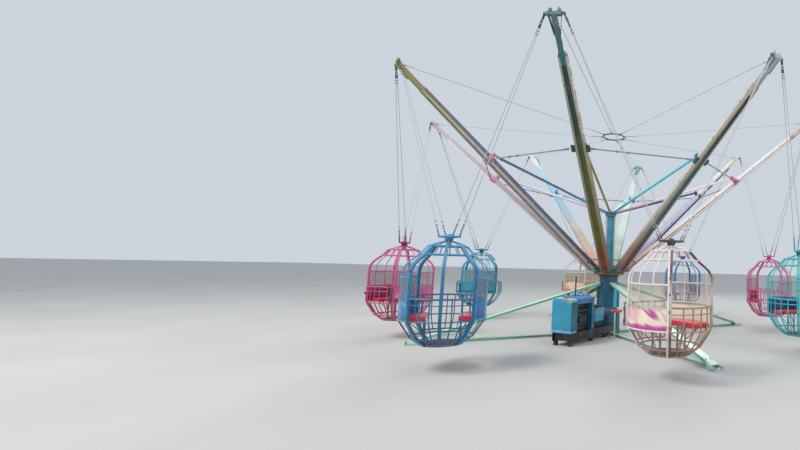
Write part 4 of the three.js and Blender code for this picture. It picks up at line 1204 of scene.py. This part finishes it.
def housing(place, paint, seam_and_side_shade_paint):
    """The rounded, closed box round the radiator, with a pressed front sheet and darker side sheets that are
    painted shade.
    """
    shape = Shape(place)
    half, top, low, front = HOUSING_HALF - 0.001, HOUSING_TOP - 0.001, ENGINE_LOW + 0.0005, HOUSING_FRONT
    rim = [(-half, low), (half, low), (half, top - 0.070), (half - 0.022, top - 0.022), (half - 0.070, top),
           (0.070 - half, top), (0.022 - half, top - 0.022), (-half, top - 0.070)]
    slab(shape, rim, HOUSING_BACK + 0.001, front - 0.004, ALONG, 0.018, 4)
    sheet = [(0.035 - half, 0.345), (half - 0.035, 0.345), (half - 0.035, top - 0.10),
             (half - 0.075, top - 0.055), (0.075 - half, top - 0.055), (0.035 - half, top - 0.10)]
    slab(shape, sheet, front - 0.012, front - 0.001, ALONG, 0.003)
    seam = [(front - 0.003, y, 0.333) for y in (0.02 - half, half - 0.02)]
    flat(shape, *seam, 0.004, 0.006, UP, 1)
    for y in (0.10, -0.16):
        stub(shape, (front - 0.008, y, 0.300), OUT, 0.010, 0.011, 12, 1, 0.002)
    # the side sheets take the darker seam coat as painted shade
    for sign in BOTH:
        x, y = HOUSING_BACK + 0.130, sign * (half - 0.001)
        flat(shape, (x, y, 0.300), (x, y, top - 0.075), 0.215, 0.004, OUT, 1, 0.001)
        for z in (0.36, 0.60, 0.84):
            bolt(shape, (2.035, sign * half, z), ACROSS * sign, 0.007, 2)
    stub(shape, (2.030, 0.05, top - 0.002), UP, 0.014, 0.030, 20, 2)
    shape.piece("housing_dressed", [paint, seam_and_side_shade_paint, STEEL], "base", "radiator_housing")


def tank(shape):
    """The tank on the hood with its straps, its cap and the filler beside it."""
    top, strap_z = 1.0445, 1.0440
    centred(shape, (1.311, 1.569), 0.144, (HOOD_TOP - 0.006, top), 0.018, 1, 3)
    for x in (1.365, 1.515):
        flat(shape, (x, -0.145, strap_z), (x, 0.145, strap_z), 0.022, 0.004, OUT, 2)
        for y in (-0.1445, 0.1445):
            flat(shape, (x, y, HOOD_TOP - 0.004), (x, y, strap_z), 0.022, 0.004, OUT, 2)
    stub(shape, (1.380, 0, 1.040), UP, 0.034, 0.033, 16, 2)
    stub(shape, (1.700, -0.12, HOOD_TOP - 0.01), UP, 0.060, 0.024, 16, 2)


def hood(place, paint, tank_paint):
    shape = Shape(place)
    half, top = HOOD_HALF, HOOD_TOP - 0.004
    outline = [(-half, HOOD_LOW), (half, HOOD_LOW), (half, HOOD_TOP - 0.055), (half - 0.050, top),
               (0.050 - half, top), (-half, HOOD_TOP - 0.055)]
    slab(shape, outline, HOOD_BACK + 0.001, HOOD_FRONT, ALONG, 0.010, 3)
    tank(shape)
    for sign in BOTH:
        y, low = sign * half, HOOD_LOW + 0.010
        for i in range(6):
            x, out = HOOD_BACK + 0.14 + i * 0.065, y + sign * 0.003
            flat(shape, (x, out, HOOD_LOW + 0.035), (x, out, HOOD_LOW + 0.085), 0.007, 0.020, ACROSS)
        flat(shape, (HOOD_BACK + 0.01, y, low), (HOOD_FRONT - 0.01, y, low), 0.020, 0.008, UP)
        for x in (HOOD_BACK + 0.05, HOOD_FRONT - 0.06):
            block(shape, (x - 0.012, y - 0.008, 0.862), (x + 0.012, y + 0.008, 0.905), 0.003, 2)
    shape.piece("hood_dressed", [paint, tank_paint, STEEL], "base", "engine_hood")


def engine_case(shape):
    """Crankcase and cylinder block with plugs, pushrod covers, pipe stubs and a side box."""
    centred(shape, (1.268, 1.7850), 0.110, (0.2606, 0.360), 0.010)
    centred(shape, (1.270, 1.7885), 0.124, (0.360, 0.618), 0.012)
    centred(shape, (1.320, 1.738), 0.084, (0.618, 0.742), 0.008)
    centred(shape, (1.335, 1.725), 0.070, (0.742, 0.8394), 0.014, 1, 3)
    for i in range(6):
        x = 1.365 + i * 0.070
        stub(shape, (x, -0.084, 0.690), -ACROSS, 0.020, 0.012, 12, 1)
        block(shape, (x - 0.018, 0.078, 0.650), (x + 0.018, 0.116, 0.700), 0.006)
        bolt(shape, (x, 0.0, 0.8294), UP, 0.006, 1)
    for i in range(7):
        x = 1.300 + i * 0.075
        flat(shape, (x, -0.125, 0.38), (x, -0.125, 0.60), 0.014, 0.008, OUT)
        bolt(shape, (x, -0.111, 0.31), -ACROSS, 0.007, 1)
    block(shape, (1.382, 0.112, 0.422), (1.638, 0.174, 0.558), 0.014, 0, 3)
    stub(shape, (1.640, 0.142, 0.490), OUT, 0.060, 0.050, 20, 1)
    stub(shape, (1.40, -0.118, 0.52), -ACROSS, 0.047, 0.036, 20, 1)
    manifold = [(x, y, 0.680) for x, y in ((1.36, 0.112), (1.36, 0.138), (1.70, 0.138), (1.70, 0.112))]
    hose(shape, manifold, 0.03, 0.026, UP, paint=0)


def engine_fan(shape):
    """Fan, belt pulleys and belt in front of the engine."""
    centre = Vector((1.790, 0, 0.620))
    stub(shape, centre - OUT * 0.01, OUT, 0.056, 0.045, 20, 1)
    root = centre + OUT * 0.026
    for t in turns(6):
        out = Vector((0, math.cos(t), math.sin(t)))
        twist = Matrix.Rotation(math.radians(35), 3, out) @ out.cross(OUT)
        flat(shape, root + out * 0.03, root + out * 0.156, 0.060, 0.004, twist, 1)
    for y, z, radius in ((0, 0.62, 0.060), (0, 0.42, 0.075), (0.100, 0.53, 0.040)):
        stub(shape, (1.788, y, z), OUT, 0.018, radius, 24, 1)
    corners = ((-0.058, 0.62), (0.00, 0.684), (0.140, 0.54), (0.070, 0.38), (-0.075, 0.39), (-0.058, 0.62))
    belt = rounded([(1.799, y, z) for y, z in corners], 0.04)
    sweep(shape, belt[:-1], flat_section(0.012, 0.010), OUT, 2, False, closed=True)


def engine(place, coats):
    shape = Shape(place)
    engine_case(shape)
    engine_fan(shape)
    upper = [(1.66, -0.03, 0.80), (1.74, -0.04, 0.835), (1.80, -0.06, 0.80), (1.848, -0.06, 0.77)]
    lower = [(1.70, -0.118, 0.44), (1.75, -0.160, 0.40), (1.848, -0.160, 0.36)]
    hose(shape, upper, 0.04, 0.024, ACROSS, 5)
    hose(shape, lower, 0.05, 0.022, UP, 5)
    for y in (-0.12, 0.10):
        lead = [(1.34, y, 0.60), (1.38, y, 0.70), (1.52, y * 0.7, 0.745)]
        hose(shape, lead, 0.04, 0.005, ACROSS, sides=6)
    shape.piece("engine_dressed", coats, "base", "engine_block")


def rear_frame(place, paint):
    """Upright frame behind the engine, with dials and knobs on its recessed sheet."""
    shape = Shape(place)
    back, front, half, low, top = 1.141, 1.249, ENGINE_HALF - 0.001, ENGINE_LOW + 0.0005, 0.959
    sheet = front - 0.026
    for sign in BOTH:
        ends = sorted((sign * half, sign * 0.157))
        block(shape, (back, ends[0], low), (front, ends[1], top), 0.008)
        for z in (0.33, 0.48, 0.92):
            bolt(shape, (back, sign * 0.186, z), -OUT, 0.009, 1)
    centred(shape, (back + 0.002, front), half - 0.01, (0.882, top), 0.008)
    centred(shape, (back + 0.002, front), half - 0.01, (low, 0.618), 0.008)
    centred(shape, (sheet, front - 0.006), 0.157, (0.610, 0.890), 0.004)
    for y, z in ((-0.08, 0.80), (0.0, 0.82), (0.08, 0.80)):
        stub(shape, (sheet, y, z), -OUT, 0.018, 0.034, 24, 1)
        stub(shape, (sheet - 0.018, y, z), -OUT, 0.003, 0.028, 24, 2)
    for y in (-0.10, -0.04, 0.04, 0.10):
        stub(shape, (sheet, y, 0.69), -OUT, 0.024, 0.012, 12, 2)
    shape.piece("rear_frame_dressed", [paint, STEEL, BLACK], "base", "engine_rear_frame")


def shafts(shape):
    """The drive pulley and its shaft to the engine, and the shaft to the column."""
    stub(shape, (1.016, 0, SHAFT_Z), OUT, 0.058, 0.139, 40, 1, 0.006)
    for x in (1.034, 1.054):
        lathe(shape, [(0.1395, -0.006), (0.134, 0), (0.1395, 0.006)], (x, 0, SHAFT_Z), OUT, 40, 2)
    stub(shape, (1.072, 0, SHAFT_Z), OUT, 0.0674, 0.049, 24, 2)
    stub(shape, (0.262, 0, OUTPUT_Z), OUT, 0.343, 0.054, 24, 2)
    stub(shape, (0.560, 0, OUTPUT_Z), OUT, 0.043, 0.075, 24, 1)


def gearbox(place, coats):
    """Ribbed gearbox on its plinth with cover, drive pulley and both shafts."""
    shape = Shape(place)
    back, front, half, low, top = 0.601, 1.019, 0.169, 0.386, 0.689
    flange_z = 0.525
    centred(shape, (0.642, 0.978), 0.118, (ENGINE_LOW + 0.0003, 0.392), 0.006, 1)
    centred(shape, (back, front), half - 0.012, (low, top - 0.01), 0.022, 0, 3)
    for heights in ((0.50, flange_z), (top - 0.026, top)):
        centred(shape, (back + 0.002, front - 0.002), half, heights, 0.006)
    for sign in BOTH:
        for i in range(6):
            x = back + 0.035 + i * 0.070
            bolt(shape, (x, sign * (half - 0.014), top), UP, 0.008, 2)
            bolt(shape, (x, sign * (half - 0.012), flange_z), UP, 0.007, 2)
        y = sign * (half - 0.008)
        for x in (0.66, 0.81, 0.96):
            flat(shape, (x, y, 0.400), (x, y, 0.495), 0.018, 0.014, OUT)
    centred(shape, (0.642, 0.898), 0.088, (top - 0.004, 0.7494), 0.012, 1, 3)
    for x in (0.665, 0.875):
        for y in (-0.070, 0.070):
            bolt(shape, (x, y, 0.7430), UP, 0.005, 2)
    wire(shape, (0.78, 0.10, 0.685), (0.74, 0.13, 0.745), 0.010, 1)
    shafts(shape)
    shape.piece("gearbox_dressed", coats, "base", "gearbox")


def skid(place, coats):
    """Channel rails, cross members and feet under the engine and the gearbox."""
    shape = Shape(place)
    upper = [(0.039, 0.0845), (-0.039, 0.0845), (-0.039, 0.072), (0.024, 0.070)]
    section = upper + [(u, -v) for u, v in reversed(upper)]
    rail_z = 0.175
    for sign in BOTH:
        y = sign * (ENGINE_HALF - 0.040)
        ends = [Vector((x, y, rail_z)) for x in (0.232 if sign > 0 else 0.300, 2.078)]
        loft(shape, [[at + ACROSS * (sign * u) + UP * v for u, v in section] for at in ends])
        for x in (0.560, 1.150, 1.960):
            block(shape, (x + 0.004, y - 0.036, 0.010), (x + 0.076, y + 0.036, 0.100))
            block(shape, (x, y - 0.040, 0.0), (x + 0.080, y + 0.040, 0.012), 0.003)
        for x in (0.70, 1.19, 1.52, 1.99):
            bolt(shape, (x, y, 0.2490), UP, 0.008, 1)
            bolt(shape, (x, sign * (ENGINE_HALF - 0.0012), rail_z), ACROSS * sign, 0.008, 1)
    for x in (0.430, 0.760, 1.150, 1.480, 1.960):
        centred(shape, (x + 0.002, x + 0.078), ENGINE_HALF - 0.022, (0.102, 0.2596))
    shape.piece("skid_dressed", coats, "base", "engine_skid")


def exhaust(place, paint):
    shape = Shape(place)
    foot = Vector((1.640, 0.020, 1.0003))
    pipe = [(0, 0), (0.018, 0), (0.018, 0.012), (0.0145, 0.016), (0.0145, 0.402), (0.0165, 0.406),
            (0.0130, 0.409), (0.0125, 0.370)]
    lathe(shape, pipe, foot, sides=20)
    for z in (0.12, 0.30):
        stub(shape, foot + UP * z, UP, 0.016, 0.0178, edge=0.002)
    shape.piece("exhaust_dressed", [paint], "base", "exhaust_pipe")


def lever(coats):
    """Control post with a thick cross grip, strapped to the column's drum."""
    shape = Shape(turned_place(18))
    x, y, height, plate_top = 0.700, 0.090, 0.605, 0.021
    block(shape, (x - 0.044, -0.021, 0.0), (x + 0.044, y + 0.044, plate_top), 0.004, 1)
    centred(shape, (0.3115, x), 0.021, (0.0, plate_top), 0.003, 1)
    flat(shape, (x, y, 0.02), (x, y, height), 0.032, 0.032, ACROSS, 1, 0.006)
    for corner in ((x - 0.030, 0.0), (x + 0.030, 0.0), (x + 0.030, y + 0.028), (x - 0.030, y + 0.028)):
        bolt(shape, (*corner, plate_top), UP, 0.007, 2)
    wire(shape, (x, y - 0.098, height), (x, y + 0.163, height), 0.028, 0, 20)
    for start, end in ((-0.098, -0.080), (-0.034, 0.034), (0.145, 0.163)):
        drum(shape, (x, y + start, height), (x, y + end, height), 0.0325, 20, 0, 0.006)
    bolt(shape, (x + 0.031, y, height), OUT, 0.008, 2)
    shape.piece("lever_dressed", coats, "base", "control_lever")


# Coats

STEEL = bare_steel("worn_fittings", "6a6d70", 0.35)
ROPE = wire_rope()
BLACK = worn_paint("dial_black", "151515 1d1c1b", rough=0.25, dust=0.1, chips=0.2)
BENCH = bench_gloss()
FLOOR_METAL = bare_steel("floor_plate", "6b6660", 0.7, 0.55)
SHOE_PAINT = worn_paint("shoe_teal", "1f6f7c 2a848c", chips=0.7)

# per arm, from foot to tip: sides, rails, channel (mostly dark, painted shade), wings, tip, tie rod; then
# strut from mast to arm
ARM_TONES = [
    ("7a2c22 7a6a3c 86785c 8a7a66 5f7a72", "a0603c 8f8a5c a09a7c b0a898 b5b0a8",
     "9a2a34 6a6a2a 56662c 264f48 14404c", "2f4a2a", "1f6f73", "8a7a9c", "a59a3c 8f8f36"),
    ("8c2a22 b9ad98 cfc8bc d2cdc0 9a948a", "a0564a 9c9484 aaa090 b9b0a4",
     "8c3a32 4f706a 487068 4f4f48 4a3a32", "1c4f60", "a5a9a8", "8a7a9c", "3f9fb4 5fd0ea 5fd0ea"),
    ("b57a70 efe6e2 f2ecec f2ecec e8dcd8", "b08a78 e6d6ca eaddd4 e0cfc4", "3a1a1c 3a1418 3f181c 5a3a34",
     "c4427f", "8e3a3e", "8a7a9c", "b0708c eedfe6 e9d3de"),
    ("a296c0 c9c6de cfcce2 e6e6d2 e3dfb8", "3a3a70 2b3070 2a2f6c 4a4874", "3a3a70 2b3070 2a2f6c 23264f",
     "3a3874", "dccf9e", "8a7a9c", "2c356c 303a72"),
    ("8fb9a6 cfe3d4 d9ebde cfe4da 8fc0c4", "cfdccb dfe8da d9e6dc 9cc4c4", "2f5f4c 2f6a54 2f6f5c 2f7078",
     "2b8a8c", "2f7f96", "8b6f88", "7fb4c4 a9cfd4"),
    ("d8a482 cbbcb0 86c6e0 a2d4ea e6edee", "e8d6c6 eeeae6 eef0f0", "b4806a 4f9fc0 4fa3c4 a9cddc",
     "5a8fb4", "e9ebea", "9c7a94", "7fb4cf a4d3ea"),
    ("8a7f88 9a9098 a59aa0 b4a9b0 c4b4bc", "b4a9b0 d2ccd6 e0e0e8", "7c6a84 9a86a0 b09ab0 c9b0bd",
     "cf7fa6", "b3a3a8", "a9789a", "dc9ac0 d9dce6 7fc4d9"),
    ("6a3c48 5c6078 5c6684 62688a 767264 7a7440", "b8aca4 c4b8b0 c6bcb2 b8ae78",
     "9a9088 a59c94 a59c90 a09a60", "d487a4", "9c9440", "8a7a9c", "3fa5c9 5a6a8c 5a6a8c"),
]
# per cage: post from foot to top, rims, bars, wall, inner wall (painted shade, painted light for cage 1),
# clear sheet, wall's edge, streaks, yoke
CAGE_TONES = [
    # cage 1's posts turn dark maroon at the top, partly the posts' paint and partly painted shade
    ("6a2434 7c3444 c4b8ac cdbfb4 5f1c28 571c28", "ebe3de", "a27d69", "efdfc6 f4ecdd", "f2f5dc f8f9e6",
     "cfc2a6", "c2459a", ((0.43, 0.46, "efa0aa"), (0.57, 0.65, "c4489a")), "323a4c"),
    ("1fa3b0 2ab0bb 33b9c2", "38bfc6", "26acb8", "26aeb8 33bcc4", "0f4068 14507a", "86aeb2", "1f8fa6",
     ((0.60, 0.66, "1f7f9c"),), "279fb0"),
    ("c4447f cf5490 d2609a", "dc74a6", "c9508c", "cf5a94 da6ca2", "8c2c5c 9c3a6c", "b595a6", "a83470",
     ((0.60, 0.66, "e39ac4"),), "d4609a"),
    ("2468ae 2a70b4 2f78bd", "3f86c4", "2a70b4", "2a70b6 3a86c6", "1c4a84 235692", "7a9ab4", "1f568f",
     ((0.60, 0.66, "4fa5d9"),), "2a64a0"),
    ("b4876a c9a48a d9bda5", "e3d2c0", "b88c70", "e6c3a6 efdcc6", "c9a083 d3b396", "b4a58c", "b56f4c",
     ((0.58, 0.64, "d9895f"),), "8c5f4a"),
    ("1f7f9c 248ba6 2a93ac", "34a0b8", "2488a4", "1f86a4 2f9cb4", "155f7a 1a6c86", "6f9ca5", "165f7c",
     ((0.60, 0.66, "4fb9c9"),), "1f6f8c"),
    ("b8306f c23c7a c94685", "cf5a92", "bc3874", "c4407f d65f97", "8a2454 9c3264", "ad7f96", "8f1f56",
     ((0.60, 0.66, "e08ab4"),), "8c2a5c"),
    ("1a5a84 24709a 2f84ac", "3a93bc", "1f6590", "1f68a8 2b82bc", "16508a 1c5f98", "6a8ca4", "1b5a90",
     ((0.58, 0.64, "45a5cf"),), "2c8fc0"),
]


def arm_coats(number):
    sides, rails, channel, wings, tip, rod, strut = ARM_TONES[number - 1]
    angle = ARM_STEP * (number - 1)
    run = (math.sin(angle), -math.cos(angle), 0)
    name = f"arm_{number}"

    def along_arm(part, tones, **wear):
        return ramped_paint(f"{name}_{part}", run, 0.4, 5.0, tones, coat=0.05, rough=0.5, **wear)

    coats = [along_arm("sides", sides, chips=0.6), along_arm("rails", rails, chips=0.7, dust=0.1),
             along_arm("channel", channel, chips=0.4, dust=0.0), SHOE_PAINT, STEEL,
             worn_paint(f"{name}_wings", wings), worn_paint(f"{name}_rod", rod + " a58aa0"),
             worn_paint(f"{name}_tip_coat", tip + " " + sides.split()[-1])]
    return coats, ramped_paint(f"{name}_strut", run, 0.1, 3.0, strut, 0.12, chips=0.4, dust=0.15)


def dress_head():
    struts = []
    for number in range(1, 9):
        coats, strut = arm_coats(number)
        arm(number, coats)
        struts.append(strut)
    strut_star(struts, worn_paint("star_hub", "243a5c 1f4a6c"))
    stay_star(worn_paint("centre_ring", "4f4422 6b5a2c", chips=0.8, rough=0.6))
    mast(worn_paint("mast_coat", "1f7f9c 3a93ac", chips=0.4, dust=0.1))
    hub(worn_paint("hub_coat", "8a7a3a 6f5a2c", chips=0.9, dust=0.5),
        worn_paint("hub_rim", "7a2c24 7f7434", chips=0.9))


def dress_cages():
    for number in range(1, 9):
        azimuth = 45 * number - 22.5
        place = turned_place(azimuth, CAGE_RADIUS, CAGE_TURNS[number - 1])
        posts, rims, bars, wall, inner, clear, edge, streaks, yoke_tone = CAGE_TONES[number - 1]
        name = f"cage_{number}"
        post_coat = ramped_paint(f"{name}_posts", UP, 0.4, 1.9, posts, 0.1, chips=0.7)
        rim_coat = worn_paint(f"{name}_rims", rims, rough=0.34, coat=0.4)
        bar_coat = worn_paint(f"{name}_bars_coat", bars, chips=0.8, rough=0.34, coat=0.4)
        sheer = 0.20 if number < 3 else 0.35
        outside = panel_paint(f"{name}_wall", clear, wall, edge, streaks, sheer)
        # the inner wall's tones are painted shade, darker copies of the wall's tones; cage 1's near-white
        # copy is painted light
        inside = panel_paint(f"{name}_inner_wall_painted_shade_and_light", clear, inner, inner.split()[0], (), sheer)
        coats = [post_coat, rim_coat, outside, STEEL, bar_coat, inside]
        cage_frame(number, place, coats, middle_post=number == 8)
        cage_gate(number, place, [bar_coat, STEEL])
        cage_seats(number, place, bar_coat)
        hanger(number, turned_place(azimuth, CAGE_RADIUS), worn_paint(f"{name}_yoke_coat", yoke_tone))


def dress_column():
    cyan = worn_paint("rib_cyan", "34b4d4 45bfdc", chips=0.4)
    teal = worn_paint("rib_teal", "1c7f9c 238fa8", chips=0.5)
    # the column's dark teal is darkened as painted shade
    column(worn_paint("column_coat_shaded", "0d5068 12607a", rough=0.36),
           worn_paint("collar_coat", "2a3f4a 5a3a2c", chips=0.9), [cyan, teal, cyan, teal])
    pale = worn_paint("leg_pale_lit_top", "cfeadb dff2e8", chips=0.5, dust=0.15)
    mint = worn_paint("leg_mint", "5fb48c 6fc09a")
    shade = worn_paint("leg_channel", "3f8a6c 4f8468", chips=0.8, dust=0.1)
    beam_grey = worn_paint("beam_grey", "b4c9d0 a9c4c0", chips=0.7)
    beam_mint = worn_paint("beam_mint", "93c9b0 a3cfb4", chips=0.8)
    for number, azimuth in enumerate(LEG_AZIMUTHS, 1):
        leg(number, azimuth, [pale, mint, shade, STEEL, beam_grey if number == 1 else beam_mint])


def dress_engine():
    place = turned_place(-18) @ Matrix.Translation((0, ENGINE_SHIFT, 0))
    grease = worn_paint("grease_black", "17191b 26231f", fade=colour("3c3732"), chips=0.4, dust=0.35,
                        rough=0.5)
    cast = bare_steel("engine_metal", "5c5f60", 0.45, 0.5)
    rubber = worn_paint("hose_rubber", "17181a 242424", fade=colour("3c3a38"), chips=0.0, rough=0.55,
                        coat=0.0)
    housing(place, housing_paint(), worn_paint("side_dark_painted_shade", "0f5566 126478", chips=0.3))
    hood(place, worn_paint("hood_coat", "2f70ac 4080b8", chips=0.5, dust=0.15),
         worn_paint("tank_coat", "6fb0dc 84bce0", chips=0.5))
    engine(place, [grease, cast, rubber])
    rear_frame(place, worn_paint("frame_coat", "155e7c 1c6f8c"))
    gearbox(place, [worn_paint("gearbox_coat", "3f90ae 56a2bc", chips=0.7, dust=0.3), grease, STEEL])
    # the skid's near-black is its dark paint deepened as painted shade
    skid(place, [worn_paint("skid_coat_shaded", "0c1114 12181c", chips=0.4, dust=0.12), STEEL])
    exhaust(place, bare_steel("exhaust_rust", "3a3432", 0.9, 0.7))
    lever([worn_paint("lever_coat", "d8453c e25f52", chips=0.4), worn_paint("lever_post", "c4d6a0 b4cc9c"),
           STEEL])


# Studio

FLOOR_HALF = 160
FLOOR_Z = -0.001
SKY = (0.80, 0.88, 0.97, 1)
SKY_STRENGTH = 0.75
CAMERA_PLACE = (2.089, -10.797, 1.636)
CAMERA_TURNS = ((5.055, "Z"), (95.677, "X"), (1.495, "Z"))
CAMERA_LENS = 19.43
CAMERA_SHIFT = -0.31875


def area_light(name, place, aim, size, power, tint=(1, 1, 1)):
    data = bpy.data.lights.new(name, "AREA")
    data.shape = "DISK"
    data.size = size
    data.energy = power
    data.color = tint
    lamp = bpy.data.objects.new(name, data)
    lamp.location = place
    lamp.rotation_euler = (Vector(aim) - Vector(place)).to_track_quat("-Z", "Y").to_euler()
    bpy.context.scene.collection.objects.link(lamp)


def studio():
    mesh = bpy.data.meshes.new("studio_floor")
    corners = [(x * FLOOR_HALF, y * FLOOR_HALF, FLOOR_Z) for x, y in ((-1, -1), (1, -1), (1, 1), (-1, 1))]
    mesh.from_pydata(corners, [], [(0, 1, 2, 3)])
    mesh.materials.append(floor_paint())
    floor = bpy.data.objects.new("studio_floor", mesh)
    bpy.context.scene.collection.objects.link(floor)
    world = bpy.data.worlds.new("soft_studio")
    world.use_nodes = True
    sky = world.node_tree.nodes["Background"]
    sky.inputs["Color"].default_value = SKY
    sky.inputs["Strength"].default_value = SKY_STRENGTH
    bpy.context.scene.world = world
    area_light("key", (-11, -13, 17), (0, 0, 2.5), 7, 2900, (1.0, 0.97, 0.92))
    area_light("fill", (13, -9, 8), (0, 0, 2.5), 10, 600, (0.92, 0.96, 1.0))
    area_light("rim", (4, 14, 13), (0, 0, 3), 9, 800)
    bpy.context.scene.view_settings.view_transform = "Standard"


def camera():
    data = bpy.data.cameras.new("photo_view")
    data.lens = CAMERA_LENS
    data.sensor_width = 36
    data.shift_x = CAMERA_SHIFT
    data.dof.use_dof = False
    eye = bpy.data.objects.new("photo_view", data)
    place = Matrix.Translation(CAMERA_PLACE)
    for degrees, axis in CAMERA_TURNS:
        place = place @ Matrix.Rotation(math.radians(degrees), 4, axis)
    eye.matrix_world = place
    bpy.context.scene.collection.objects.link(eye)
    bpy.context.scene.camera = eye


camera()
dress_head()
dress_cages()
dress_column()
dress_engine()
studio()

bpy.context.view_layer.update()
